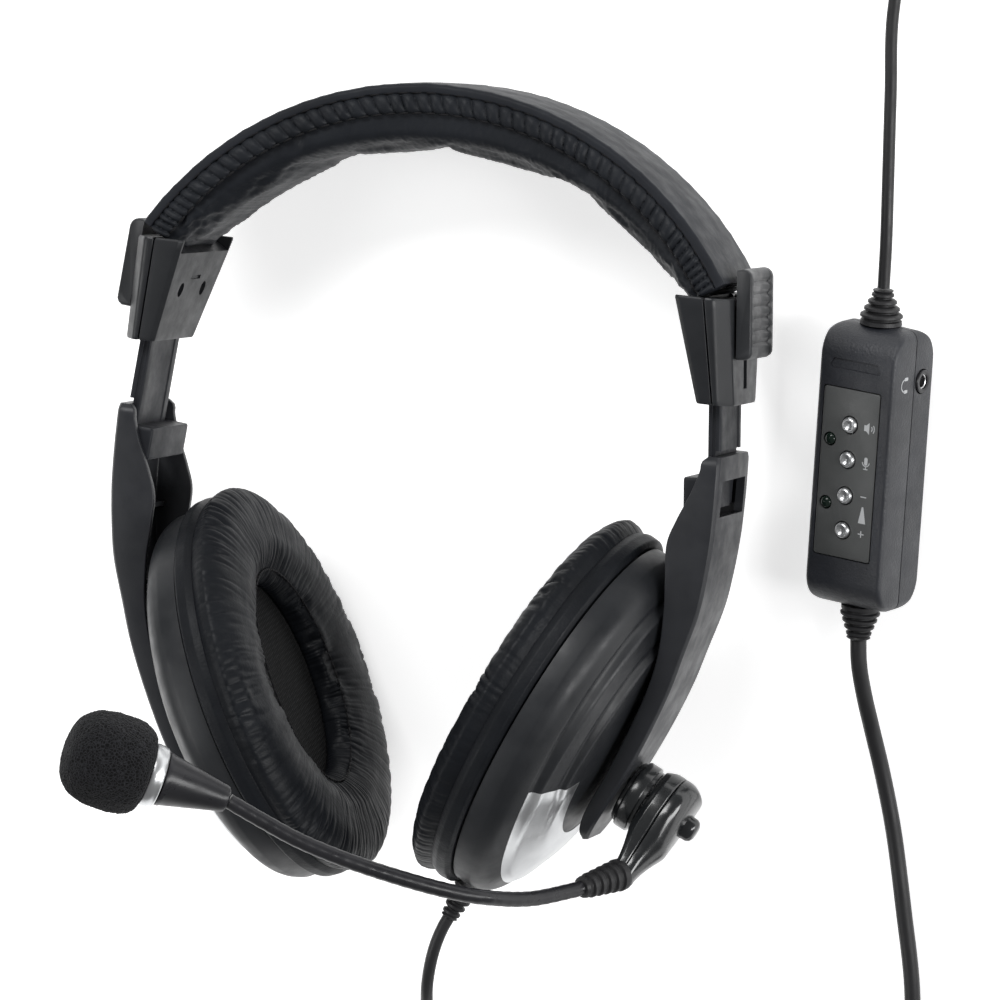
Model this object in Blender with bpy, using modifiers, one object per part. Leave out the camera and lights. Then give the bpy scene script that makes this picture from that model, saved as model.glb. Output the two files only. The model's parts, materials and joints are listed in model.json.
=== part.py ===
"""Office headset with a boom microphone, an in-line remote and a USB lead, lying on its back on a table.

The headset is drawn as worn: X across the head, Y from front to back, Z up. The empty headset_frame
then lays it on the table, so that in the world +X is the wearer's right-hand side of the drawing,
+Y is the top of the head and +Z is the front. The world's origin is on the table, in the middle
under the headset. The remote and the leads are placed in the world.
"""
import math

import bmesh
import bpy
from mathutils import Euler, Matrix, Vector

MM = 0.001
GAP = 0.3 * MM

# How the headset lies on the table
REST_TILT = math.radians(8.5)
FRAME_AT = Vector((-18.48, 0.5, 34.492)) * MM
TABLE_AT = Vector((-18.48, 0.3, 0.0)) * MM

# Headband: arcs about an axis along Y
BAND_AXIS_Z = 13.6 * MM
BAND_RADIUS = 84.0 * MM
BAND_HALF_WIDTH = 18.5 * MM
BAND_END_ANGLE = math.radians(58)
COVER_THICKNESS = 2.6 * MM
SPRING_THICKNESS = 0.8 * MM
SPRING_HALF_WIDTH = 9.0 * MM
PAD_THICK_MIDDLE = 12.8 * MM
PAD_THICK_END = 7.4 * MM

# Slider housings, straps and arms, drawn for the +X side
SLIDE_LEAN = math.radians(5)
HOUSING_MOUTH = Vector((70.0, 0.0, 29.5)) * MM
HOUSING_HEIGHT = 25.0 * MM
STRAP_THICKNESS = 3.0 * MM
STRAP_WIDTH = 22.0 * MM
STRAP_ABOVE_MOUTH = 15.5 * MM
STRAP_BELOW_MOUTH = 24.0 * MM
LEFT_EXTRA_EXTENSION = 3.4 * MM
ARM_WALL = 2.0 * MM

# Ear cups, drawn about the cup's own axis: X outward, Z along the long axis
CUP_CENTRE = {1: Vector((37.1, 0.0, -48.6)) * MM, -1: Vector((-35.6, 0.0, -48.4)) * MM}
CUP_TILT = {1: math.radians(24.5), -1: math.radians(26)}
CUP_TOE = {1: math.radians(-2.5), -1: math.radians(5)}
CUP_HALF_LONG = 46.0 * MM
CUP_HALF_SHORT = 39.0 * MM
RING_OVERHANG = 1.5 * MM
RING_DEPTH = 3.8 * MM
PAD_DEPTH = 8.6 * MM
PAD_ROLL = 19.5 * MM
DRIVER_RADIUS = 19.4 * MM
PIVOT_PIN_AT = Vector((65.3, 0.0, -26.9)) * MM
LUG_INNER = {1: 1.9 * MM, -1: 2.65 * MM}
LUG_OUTER = 1.7 * MM
PIVOT_PIN_RADIUS = 1.0 * MM
SHELL_WALL = 2.0 * MM
# Height of the cup's shell above its rim, by share of the rim's radius
DOME = [(1.0, 5.4), (0.955, 8.4), (0.86, 11.1), (0.76, 13.1), (0.66, 14.9), (0.55, 16.0), (0.3, 17.2)]
DOME_TOP = 17.6 * MM

# Microphone boom
SWIVEL_AT = Vector((55.36, 0.0, -64.35)) * MM
SWIVEL_LEAN = math.radians(25)
BOSS_RADIUS = 8.6 * MM
BOSS_LENGTH = 5.6 * MM
TAIL_END = 19.6
BOOM_RADIUS = 1.8 * MM

# Remote: X across its face, Y along it, Z out of its face
REMOTE_AT = Vector((101.9, 14.0, 11.2)) * MM
REMOTE_ROLL = math.radians(20)
REMOTE_WIDTH = 21.0 * MM
REMOTE_LENGTH = 68.0 * MM
REMOTE_FRONT = 9.3 * MM
REMOTE_REAR = 8.1 * MM
REMOTE_KEEL = REMOTE_WIDTH / 2 * math.tan(REMOTE_ROLL)
REMOTE_END_RADIUS = 7.5 * MM
BUTTON_RADIUS = 2.0 * MM
BUTTON_X = -0.6 * MM
BUTTON_Y = {"speaker_mute": 11.0 * MM, "mic_mute": 2.6 * MM, "volume_down": -6.1 * MM,
            "volume_up": -14.5 * MM}
LIGHT_X = -5.9 * MM
LIGHT_Y = {"light_upper": 6.8 * MM, "light_lower": -8.6 * MM}

# Leads
HEADSET_CORD_RADIUS = 1.5 * MM
USB_CORD_RADIUS = 2.0 * MM
COIL_AT = Vector((92.0, -160.0, 0.0)) * MM
COIL_MEAN_RADIUS = 22.0 * MM
COIL_HALF_WIDTH = 6.2 * MM
COIL_HEIGHT = 12.4 * MM

HEADSET_CORD_ROUTE = [
    (15.15, -99.3, 49.43), (13.6, -102.8, 49.95), (12.0, -108.3, 50.1), (10.6, -115.5, 48.4),
    (9.6, -122.5, 44.5), (8.6, -130.0, 36.8), (8.0, -138.0, 26.2), (8.0, -147.0, 15.0), (8.6, -157.0, 6.8),
    (10.2, -169.0, 2.6), (14.0, -182.0, 1.8), (21.0, -197.0, 1.8), (36.0, -208.5, 1.8), (60.0, -214.0, 1.8),
    (90.0, -215.0, 1.8), (119.0, -209.0, 1.8), (140.0, -192.0, 1.8), (150.0, -163.0, 1.8),
    (152.5, -130.0, 1.8), (151.5, -95.0, 1.8), (149.5, -55.0, 1.8), (147.5, -15.0, 1.8), (145.5, 25.0, 1.8),
    (143.5, 65.0, 1.8), (140.5, 100.0, 1.8), (135.5, 128.0, 1.8), (124.5, 145.0, 1.8), (110.5, 148.0, 1.9),
    (100.5, 138.0, 2.4), (98.2, 121.0, 4.2), (99.6, 102.0, 7.2), (101.0, 82.0, 9.8), (101.8, 68.0, 10.9),
    (102.0, 56.8, 11.0),
]
USB_CORD_ROUTE = [
    (102.0, -28.8, 11.0), (102.5, -35.0, 10.6), (103.9, -43.0, 8.6), (106.0, -52.5, 5.6),
    (108.8, -63.5, 3.3), (112.4, -78.0, 2.4), (116.2, -97.0, 2.4), (120.2, -118.0, 2.4),
    (122.4, -134.0, 2.6), (123.0, -148.0, 3.4), (122.7, -160.0, 4.2),
]
USB_TAIL_ROUTE = [
    (84.0, -190.8, 3.0), (74.0, -194.5, 2.6), (64.0, -199.5, 2.6), (56.0, -201.8, 3.2),
    (49.5, -200.8, 4.0), (45.2, -197.0, 4.6), (44.0, -191.8, 4.8),
]
PLUG_AT = Vector((44.0, -168.0, 4.8)) * MM


# ---------------------------------------------------------------------------- helpers
def clear_scene():
    for old in list(bpy.data.objects):
        bpy.data.objects.remove(old, do_unlink=True)


def collection(name):
    found = bpy.data.collections.new(name)
    bpy.context.scene.collection.children.link(found)
    return found


def material(name, colour, roughness, metallic=0.0):
    made = bpy.data.materials.new(name)
    made.use_nodes = True
    shader = made.node_tree.nodes["Principled BSDF"]
    shader.inputs["Base Color"].default_value = (*colour, 1.0)
    shader.inputs["Roughness"].default_value = roughness
    shader.inputs["Metallic"].default_value = metallic
    return made


def empty(name, parent=None, location=(0, 0, 0), rotation=(0, 0, 0), mode="XYZ"):
    made = bpy.data.objects.new(name, None)
    PARTS.objects.link(made)
    made.parent = parent
    made.location = location
    made.rotation_mode = mode
    made.rotation_euler = rotation
    return made


def place(mesh, name, mat, parent=None, location=(0, 0, 0), rotation=(0, 0, 0)):
    """Put a mesh in the scene as one named part."""
    made = bpy.data.objects.new(name, mesh)
    PARTS.objects.link(made)
    mesh.materials.clear()
    mesh.materials.append(mat)
    made.parent = parent
    made.location = location
    made.rotation_euler = rotation
    return made


def smooth(obj, angle=35):
    obj.data.shade_smooth()
    obj.data.set_sharp_from_angle(angle=math.radians(angle))
    return obj


def mesh_from(bm, name):
    bmesh.ops.recalc_face_normals(bm, faces=bm.faces)
    mesh = bpy.data.meshes.new(name)
    bm.to_mesh(mesh)
    bm.free()
    return mesh


def loft(name, rings, closed_path=False):
    """A skin over rings of equally many points; the ends are capped unless the path closes."""
    bm = bmesh.new()
    verts = [[bm.verts.new(p) for p in ring] for ring in rings]
    count = len(rings[0])
    pairs = list(zip(verts, verts[1:]))
    if closed_path:
        pairs.append((verts[-1], verts[0]))
    for one, two in pairs:
        for i in range(count):
            j = (i + 1) % count
            bm.faces.new((one[i], one[j], two[j], two[i]))
    if not closed_path:
        for ring, end in ((verts[0], 0), (verts[-1], -1)):
            bm.faces.new(ring if end else list(reversed(ring)))
    bmesh.ops.triangulate(bm, faces=[f for f in bm.faces if len(f.verts) > 4])
    return mesh_from(bm, name)


def box_mesh(name, size, centre=(0, 0, 0), bevel=0.0):
    bm = bmesh.new()
    bmesh.ops.create_cube(bm, size=1.0)
    bmesh.ops.scale(bm, vec=size, verts=bm.verts)
    bmesh.ops.translate(bm, vec=centre, verts=bm.verts)
    if bevel:
        bmesh.ops.bevel(bm, geom=bm.edges[:], offset=bevel, segments=1, affect="EDGES")
    return mesh_from(bm, name)


def rod_mesh(name, radius, length, sides=16, top_radius=None, bevel=0.0):
    """A cylinder or cone along Z from 0 to length."""
    bm = bmesh.new()
    top = radius if top_radius is None else top_radius
    bmesh.ops.create_cone(bm, cap_ends=True, segments=sides, radius1=radius, radius2=top, depth=length)
    bmesh.ops.translate(bm, vec=(0, 0, length / 2), verts=bm.verts)
    if bevel:
        rim = [e for e in bm.edges if abs(e.verts[0].co.z - length) < 1e-7
               and abs(e.verts[1].co.z - length) < 1e-7]
        bmesh.ops.bevel(bm, geom=rim, offset=bevel, segments=2, affect="EDGES")
    return mesh_from(bm, name)


def turned(name, mat, profile, steps=20, **placing):
    """A turned solid: the profile (radius, height) runs from top to bottom and turns about Z."""
    mesh = bpy.data.meshes.new(name)
    points = [(r * MM, 0.0, h * MM) for r, h in profile]
    mesh.from_pydata(points, [(i, i + 1) for i in range(len(points) - 1)], [])
    obj = place(mesh, name, mat, **placing)
    screw = obj.modifiers.new("turn", "SCREW")
    screw.steps = steps
    screw.render_steps = steps
    screw.use_merge_vertices = True
    screw.merge_threshold = 0.00001
    return obj


def arc_strip(name, inner, outer, half_width, end_angle, stations, inner_half=None):
    """A strip bent about the band's axis; inner and outer give the radii at an angle."""
    rings = []
    low_half = half_width if inner_half is None else inner_half
    for i in range(stations + 1):
        angle = -end_angle + 2 * end_angle * i / stations
        rings.append([arc_point(r, y, angle) for r, y in band_section(inner(angle), outer(angle), half_width,
                                                                      low_half)])
    return loft(name, rings)


def band_section(low, high, half, low_half):
    """Section of a band layer as (radius, y), with soft lower corners."""
    corner = min(0.45 * (high - low), 3.0 * MM)
    return [
        (high, -half + corner * 0.3), (high, half - corner * 0.3), (high - corner * 0.3, half),
        (low + corner, low_half), (low, low_half - corner), (low, -low_half + corner),
        (low + corner, -low_half), (high - corner * 0.3, -half),
    ]


def arc_point(radius, y, angle):
    return Vector((radius * math.sin(angle), y, BAND_AXIS_Z + radius * math.cos(angle)))


def smooth_route(points, spacing):
    """Points at a steady spacing on a Catmull-Rom curve through a hand-chosen route in millimetres."""
    knots = [Vector(p) * MM for p in points]
    knots = [2 * knots[0] - knots[1]] + knots + [2 * knots[-1] - knots[-2]]
    dense = []
    for a, b, c, d in zip(knots, knots[1:], knots[2:], knots[3:]):
        for step in range(24):
            t = step / 24
            dense.append(0.5 * (2 * b + (c - a) * t + (2 * a - 5 * b + 4 * c - d) * t * t
                                + (3 * b - 3 * c + d - a) * t ** 3))
    dense.append(knots[-2])
    total = sum((q - p).length for p, q in zip(dense, dense[1:]))
    wanted = max(2, round(total / spacing))
    out, run, target = [dense[0]], 0.0, total / wanted
    for p, q in zip(dense, dense[1:]):
        step = (q - p).length
        while run + step >= target * len(out) and len(out) < wanted:
            out.append(p.lerp(q, (target * len(out) - run) / step))
        run += step
    out.append(dense[-1])
    return out


def tube(name, mat, points, radius, parent=None):
    """A round cord or tube along the given points."""
    curve = bpy.data.curves.new(name, "CURVE")
    curve.dimensions = "3D"
    curve.bevel_depth = radius
    curve.bevel_resolution = 2
    curve.use_fill_caps = True
    line = curve.splines.new("POLY")
    line.points.add(len(points) - 1)
    for point, at in zip(line.points, points):
        point.co = (*at, 1.0)
    curve.materials.append(mat)
    made = bpy.data.objects.new(name, curve)
    PARTS.objects.link(made)
    made.parent = parent
    return made


def cut(obj, cutter_mesh, operation="DIFFERENCE", location=(0, 0, 0), rotation=(0, 0, 0)):
    """Cut or join with a hidden mesh that shares the part's parent."""
    cutter = bpy.data.objects.new(obj.name + "_cutter", cutter_mesh)
    CUTTERS.objects.link(cutter)
    cutter.parent = obj.parent
    cutter.location = location
    cutter.rotation_euler = rotation
    cutter.hide_render = True
    cutter.display_type = "WIRE"
    boolean = obj.modifiers.new("cut", "BOOLEAN")
    boolean.operation = operation
    boolean.solver = "EXACT"
    boolean.object = cutter
    return obj


def mirrored(mesh, side):
    """Flip a mesh drawn for the +X side when it belongs to the -X side."""
    if side < 0:
        mesh.transform(Matrix.Scale(-1, 4, (1, 0, 0)))
        mesh.flip_normals()
    return mesh


# ---------------------------------------------------------------------------- headband
def pad_thickness(angle):
    return PAD_THICK_END + (PAD_THICK_MIDDLE - PAD_THICK_END) * math.cos(angle / BAND_END_ANGLE
                                                                         * math.pi / 2) ** 0.8


def build_headband():
    cover_low = BAND_RADIUS - COVER_THICKNESS
    spring_high = cover_low - GAP
    spring_low = spring_high - SPRING_THICKNESS
    pad_high = spring_low - GAP
    cover = arc_strip("headband_cover", lambda a: cover_low, lambda a: BAND_RADIUS,
                      BAND_HALF_WIDTH, BAND_END_ANGLE, 24)
    smooth(place(cover, "headband_cover", LEATHERETTE, HEADSET), 50)
    spring = arc_strip("headband_spring", lambda a: spring_low, lambda a: spring_high,
                       SPRING_HALF_WIDTH, BAND_END_ANGLE, 20)
    place(spring, "headband_spring", STEEL, HEADSET)
    pad = arc_strip("headband_pad", lambda a: pad_high - pad_thickness(a), lambda a: pad_high,
                    BAND_HALF_WIDTH, BAND_END_ANGLE, 24, BAND_HALF_WIDTH - 3.0 * MM)
    smooth(place(pad, "headband_pad", LEATHERETTE, HEADSET), 50)


# ---------------------------------------------------------------------------- sliders
def housing_section(t, outer_half):
    """Outline of one housing half at share t of its height, 0 at the mouth, drawn for the +X side."""
    front = (16.0 + 5.0 * t) * MM
    lean = math.sin(SLIDE_LEAN) * HOUSING_HEIGHT * t
    z = t * HOUSING_HEIGHT * math.cos(SLIDE_LEAN)
    parting = -lean + 0.4 * MM - 1.2 * MM * t
    if outer_half:
        skin = parting + (4.4 + 1.0 * t) * MM
        near = parting + GAP / 2
        return [(near, -front, z), (near, front, z), (skin - 3 * MM, front, z), (skin, front - 4.5 * MM, z),
                (skin, -front + 4.5 * MM, z), (skin - 3 * MM, -front, z)]
    skin = parting - (3.9 + 3.2 * t) * MM
    near = parting - GAP / 2
    return [(near, front, z), (near, -front, z), (skin + 1.0 * MM, -front, z), (skin, -front + 1.0 * MM, z),
            (skin, front - 1.0 * MM, z), (skin + 1.0 * MM, front, z)]


def build_housing(side, tag):
    """Two half shells that clamp the band's end and guide the strap."""
    mouth = Vector((HOUSING_MOUTH.x * side, 0, HOUSING_MOUTH.z))
    slot_size = (STRAP_THICKNESS + 2 * GAP, STRAP_WIDTH + 2 * GAP, 70 * MM)
    for half in ("outer", "inner"):
        rings = [housing_section(t, half == "outer") for t in (0.0, 0.06, 0.35, 0.7, 1.0)]
        if half == "inner":
            rings[0] = [(x, y * 0.97, z) for x, y, z in rings[0]]
        mesh = mirrored(loft("housing_" + half, rings), side)
        body = place(mesh, f"slider_housing_{half}_{tag}", HOUSING, HEADSET, mouth)
        cut(body, box_mesh("strap_slot", slot_size), location=mouth, rotation=(0, -side * SLIDE_LEAN, 0))
        cut(body, band_cutter(), location=(0, 0, 0))
        if half == "outer":
            cut(body, box_mesh("grip_slot", (8 * MM, 3.4 * MM, 60 * MM)),
                location=mouth + Vector((side * 1.3 * MM, 0, 33.5 * MM)), rotation=(0, -side * SLIDE_LEAN, 0))
        else:
            for y in (-8.5 * MM, 8.5 * MM):
                hole = rod_mesh("screw_hole", 1.75 * MM, 6 * MM, 12)
                cut(body, hole, location=mouth + Vector((-side * 9.4 * MM, y, 12.5 * MM)),
                    rotation=(0, side * math.pi / 2, 0))


def band_cutter():
    """The space that the band's end takes up in a housing."""
    return arc_strip("band_end", lambda a: BAND_RADIUS - 13.0 * MM, lambda a: BAND_RADIUS + GAP,
                     BAND_HALF_WIDTH + GAP, BAND_END_ANGLE + math.radians(0.3), 24)


def build_strap(side, tag, slider):
    """Flat strap with a foot that holds the arm."""
    down = Vector((side * math.sin(SLIDE_LEAN), 0, -math.cos(SLIDE_LEAN)))
    length = STRAP_ABOVE_MOUTH + STRAP_BELOW_MOUTH
    middle = Vector((HOUSING_MOUTH.x * side, 0, HOUSING_MOUTH.z)) + down * (STRAP_BELOW_MOUTH - length / 2)
    strap = place(box_mesh("strap", (STRAP_THICKNESS, STRAP_WIDTH, length), bevel=0.4 * MM),
                  f"strap_{tag}", STRAP, slider, middle, (0, -side * SLIDE_LEAN, 0))
    foot = box_mesh("foot", (5.6 * MM, 27.8 * MM, 7.5 * MM))
    cut(strap, box_mesh("step", (8 * MM, 40 * MM, 24 * MM)), location=(side * 75.4 * MM, 0, 6.6 * MM))
    cut(strap, foot, "UNION", Vector((side * 68.0 * MM, 0, 8.4 * MM)), (0, -side * SLIDE_LEAN, 0))
    return strap


def build_grip(side, tag, slider):
    """Ribbed thumb grip over the housing's outer face, with a stem that reaches the strap."""
    face = [(5.15, 21.0), (6.6, 21.0), (8.2, 19.6)]
    for rib in range(6):
        z = 17.4 - 2.9 * rib
        face += [(8.4, z + 0.9), (7.8, z + 0.45), (7.8, z - 0.45), (8.4, z - 0.9)]
    face += [(8.2, 0.8), (7.4, 0.0), (5.15, 0.0)]
    plain = [(5.15, 2.3), (5.15, 2.9), (5.15, 5.7), (5.15, 6.3)]
    stem = [(5.15, 2.3), (1.85, 2.3), (1.85, 6.3), (5.15, 6.3)]
    rings = []
    for y, back in ((-12.0, plain), (-1.5, plain), (-1.4, stem), (1.4, stem), (1.5, plain), (12.0, plain)):
        rings.append([(x * MM, y * MM, z * MM) for x, z in back + face])
    bm = bmesh.new()
    bm.from_mesh(mirrored(loft("grip", rings), side))
    bmesh.ops.triangulate(bm, faces=bm.faces)
    rise = Vector((-side * math.sin(SLIDE_LEAN), 0, math.cos(SLIDE_LEAN))) * 10.4 * MM
    at = Vector((side * HOUSING_MOUTH.x, 0, HOUSING_MOUTH.z)) + rise
    return place(mesh_from(bm, "grip"), f"thumb_grip_{tag}", GRIP, slider, at, (0, -side * SLIDE_LEAN, 0))


ARM_STATIONS = [
    # height, outer face, inner edge of the cheeks, half width
    (17.4, 73.6, 70.6, 15.0), (16.0, 73.7, 69.3, 16.0), (13.5, 73.8, 69.0, 16.0), (8.0, 73.9, 67.2, 16.0),
    (1.6, 73.9, 64.5, 15.8), (-4.0, 73.7, 62.8, 15.6), (-12.0, 73.0, 63.1, 15.2), (-20.0, 71.8, 63.5, 14.8),
    (-30.0, 69.0, 63.0, 14.1), (-39.0, 66.4, 61.0, 13.4), (-49.5, 62.4, 57.2, 12.5), (-60.0, 57.6, 52.8, 11.6),
    (-69.0, 52.8, 48.6, 10.8), (-74.0, 50.2, 47.2, 9.6), (-76.6, 48.8, 47.6, 7.0),
]


def arm_ring(z, outer, edge, half):
    """Section of the arm: a channel that is open towards the cup."""
    wall = ARM_WALL / MM
    floor = max(outer - wall, edge + 0.4)
    cheek = half - 1.8
    points = [(edge, -half), (outer - 1.6, -half), (outer, -half + 1.6), (outer, half - 1.6),
              (outer - 1.6, half), (edge, half), (edge, cheek), (floor, cheek), (floor, -cheek),
              (edge, -cheek)]
    return [(x * MM, y * MM, z * MM) for x, y in points]


def build_arm(side, tag, slider):
    rings = [arm_ring(*station) for station in ARM_STATIONS]
    arm = place(mirrored(loft("arm", rings), side), f"arm_{tag}", ARM, slider)
    smooth(arm, 40)
    window = box_mesh("window", (9 * MM, 24 * MM, 8.4 * MM))
    cut(arm, window, location=(side * 75.5 * MM, 0.5 * MM, 7.6 * MM), rotation=(0, -side * SLIDE_LEAN, 0))
    return arm


# ---------------------------------------------------------------------------- ear cups
def oval(share, c, extra=0.0, count=32, long_half=CUP_HALF_LONG, short_half=CUP_HALF_SHORT):
    """Points of an oval about the cup's axis at height c."""
    points = []
    for i in range(count):
        angle = 2 * math.pi * i / count
        points.append((c, (short_half * share + extra) * math.sin(angle),
                       (long_half * share + extra) * math.cos(angle)))
    return points


def oval_frame(angle, long_half, short_half):
    """A point on an oval and the outward direction there."""
    at = Vector((0, short_half * math.sin(angle), long_half * math.cos(angle)))
    out = Vector((0, long_half * math.sin(angle), short_half * math.cos(angle))).normalized()
    return at, out


def ring_solid(name, section, long_half, short_half, stations=32):
    """A closed band around the cup: section is (out, c) measured from the oval."""
    rings = []
    for i in range(stations):
        at, out = oval_frame(2 * math.pi * i / stations, long_half, short_half)
        rings.append([at + out * o * MM + Vector((c * MM, 0, 0)) for o, c in section])
    return loft(name, rings, closed_path=True)


def build_shell(side, tag, cup, pivot):
    """Domed cover of the cup, hollow and open towards the ear, with the lug for the arm's pin."""
    outside = [oval(1.0, GAP)] + [oval(s, c * MM) for s, c in DOME]
    inside = [oval(s, c * MM - SHELL_WALL, -SHELL_WALL * 0.6) for s, c in DOME[1:]]
    inside = [oval(1.0, GAP, -SHELL_WALL)] + inside
    rings = [[(DOME_TOP - SHELL_WALL, 0.02 * y / CUP_HALF_SHORT * MM, 0.02 * z / CUP_HALF_LONG * MM)
              for _, y, z in oval(1.0, 0)]]
    rings += list(reversed(inside)) + outside
    rings += [[(DOME_TOP, 0.02 * y / CUP_HALF_SHORT * MM, 0.02 * z / CUP_HALF_LONG * MM)
               for _, y, z in oval(1.0, 0)]]
    shell = smooth(place(loft("shell", rings), f"cup_shell_{tag}", SHELL, cup), 28)
    return shell


def lug(side, tag, pivot):
    """Block that carries the pivot pin between the arm's cheeks."""
    size = (LUG_INNER[side] + LUG_OUTER, 12 * MM, 3.6 * MM)
    middle = (side * (LUG_OUTER - LUG_INNER[side]) / 2, 0, 0)
    block = place(box_mesh("lug", size, middle), f"pivot_lug_{tag}", SHELL, pivot)
    hole = rod_mesh("pin_hole", PIVOT_PIN_RADIUS + GAP, 20 * MM, 16)
    return cut(block, hole, location=(0, 10 * MM, 0), rotation=(math.pi / 2, 0, 0))


def build_cup(side, tag, slider):
    pivot_at = Vector((PIVOT_PIN_AT.x * side, 0, PIVOT_PIN_AT.z))
    pivot = empty(f"cup_pivot_{tag}", slider, pivot_at)
    centre = CUP_CENTRE[side] - pivot_at
    turn = CUP_TOE[side] if side > 0 else math.pi - CUP_TOE[side]
    cup = empty(f"cup_axes_{tag}", pivot, centre, (0, side * CUP_TILT[side], turn), "ZYX")
    build_shell(side, tag, cup, pivot)
    lug(side, tag, pivot)
    trim_stations = [math.radians(180 + 62 * k / 8) for k in range(-8, 9)]
    rings = []
    for angle in trim_stations:
        section = [(0.93, 9.4), (0.86, 11.4), (0.76, 13.4), (0.66, 15.2), (0.60, 15.8)]
        low = [Vector((c * MM + GAP * 0.2, s * CUP_HALF_SHORT * math.sin(angle),
                       s * CUP_HALF_LONG * math.cos(angle))) for s, c in section]
        high = [p + Vector((0.55 * MM, 0, 0)) for p in reversed(low)]
        rings.append(low + high)
    smooth(place(loft("trim", rings), f"cup_trim_{tag}", SILVER, cup), 30)
    baffle = [oval(0.0, 0)]
    rim = [(RING_OVERHANG / MM, -RING_DEPTH / MM), (RING_OVERHANG / MM, -2.0), (0.3, -0.2), (-3.0, -0.2)]
    hub_half = DRIVER_RADIUS + GAP
    rings = []
    for i in range(32):
        angle = 2 * math.pi * i / 32
        at, out = oval_frame(angle, CUP_HALF_LONG, CUP_HALF_SHORT)
        ring = [at + out * o * MM + Vector((c * MM, 0, 0)) for o, c in rim]
        hub = Vector((0, math.sin(angle), math.cos(angle))) * hub_half
        ring += [hub + Vector((-1.6 * MM, 0, 0)), hub + Vector((-RING_DEPTH, 0, 0))]
        rings.append(ring)
    smooth(place(loft("baffle", rings, closed_path=True), f"cup_ring_{tag}", RING, cup), 30)
    depth = PAD_DEPTH / MM
    roll = PAD_ROLL / MM
    face = -(RING_DEPTH / MM) - 0.3
    section = [(0.0, face), (0.6, face - 0.35 * depth), (-0.1 * roll, face - 0.82 * depth),
               (-0.38 * roll, face - depth), (-0.7 * roll, face - 0.9 * depth),
               (-0.96 * roll, face - 0.5 * depth), (-roll, face)]
    pad = ring_solid("pad", section, CUP_HALF_LONG + RING_OVERHANG, CUP_HALF_SHORT + RING_OVERHANG, 28)
    smooth(place(pad, f"ear_pad_{tag}", LEATHERETTE, cup), 60)
    turned(f"driver_{tag}", DRIVER, [(0, 0.4), (17.5, 0.4), (19.4, -1.2), (19.4, -3.6), (0, -3.6)],
           24, parent=cup, rotation=(0, math.pi / 2, 0))
    cloth_rings = [oval(1.0, c * MM, 0, 24, 27.6 * MM, 20.2 * MM) for c in (-4.4, -5.0)]
    place(loft("cloth", cloth_rings), f"ear_cloth_{tag}", CLOTH, cup)
    pin = rod_mesh("pin", PIVOT_PIN_RADIUS, 24.4 * MM, 12)
    place(pin, f"pivot_pin_{tag}", STEEL, slider, pivot_at + Vector((0, 12.2 * MM, 0)), (math.pi / 2, 0, 0))
    return cup


def build_side(side, tag):
    build_housing(side, tag)
    extra = LEFT_EXTRA_EXTENSION if side < 0 else 0.0
    slider = empty(f"slider_{tag}", HEADSET,
                   (side * math.sin(SLIDE_LEAN) * extra, 0, -math.cos(SLIDE_LEAN) * extra))
    build_strap(side, tag, slider)
    build_grip(side, tag, slider)
    build_arm(side, tag, slider)
    cup = build_cup(side, tag, slider)
    return slider, cup


# ---------------------------------------------------------------------------- microphone
BOOM_ROUTE = [
    (52.0, -20.5, -86.0), (50.2, -22.8, -86.7), (43.0, -34.5, -88.2), (35.1, -46.5, -87.4),
    (27.0, -53.0, -85.9), (17.0, -59.0, -83.4), (6.0, -64.5, -80.2), (-4.0, -68.8, -76.6),
    (-13.0, -72.6, -72.2), (-19.4, -75.4, -68.8),
]
HOLDER_FROM = Vector((-20.0, -75.6, -68.4)) * MM
HOLDER_TO = Vector((-33.9, -81.6, -64.7)) * MM


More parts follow.
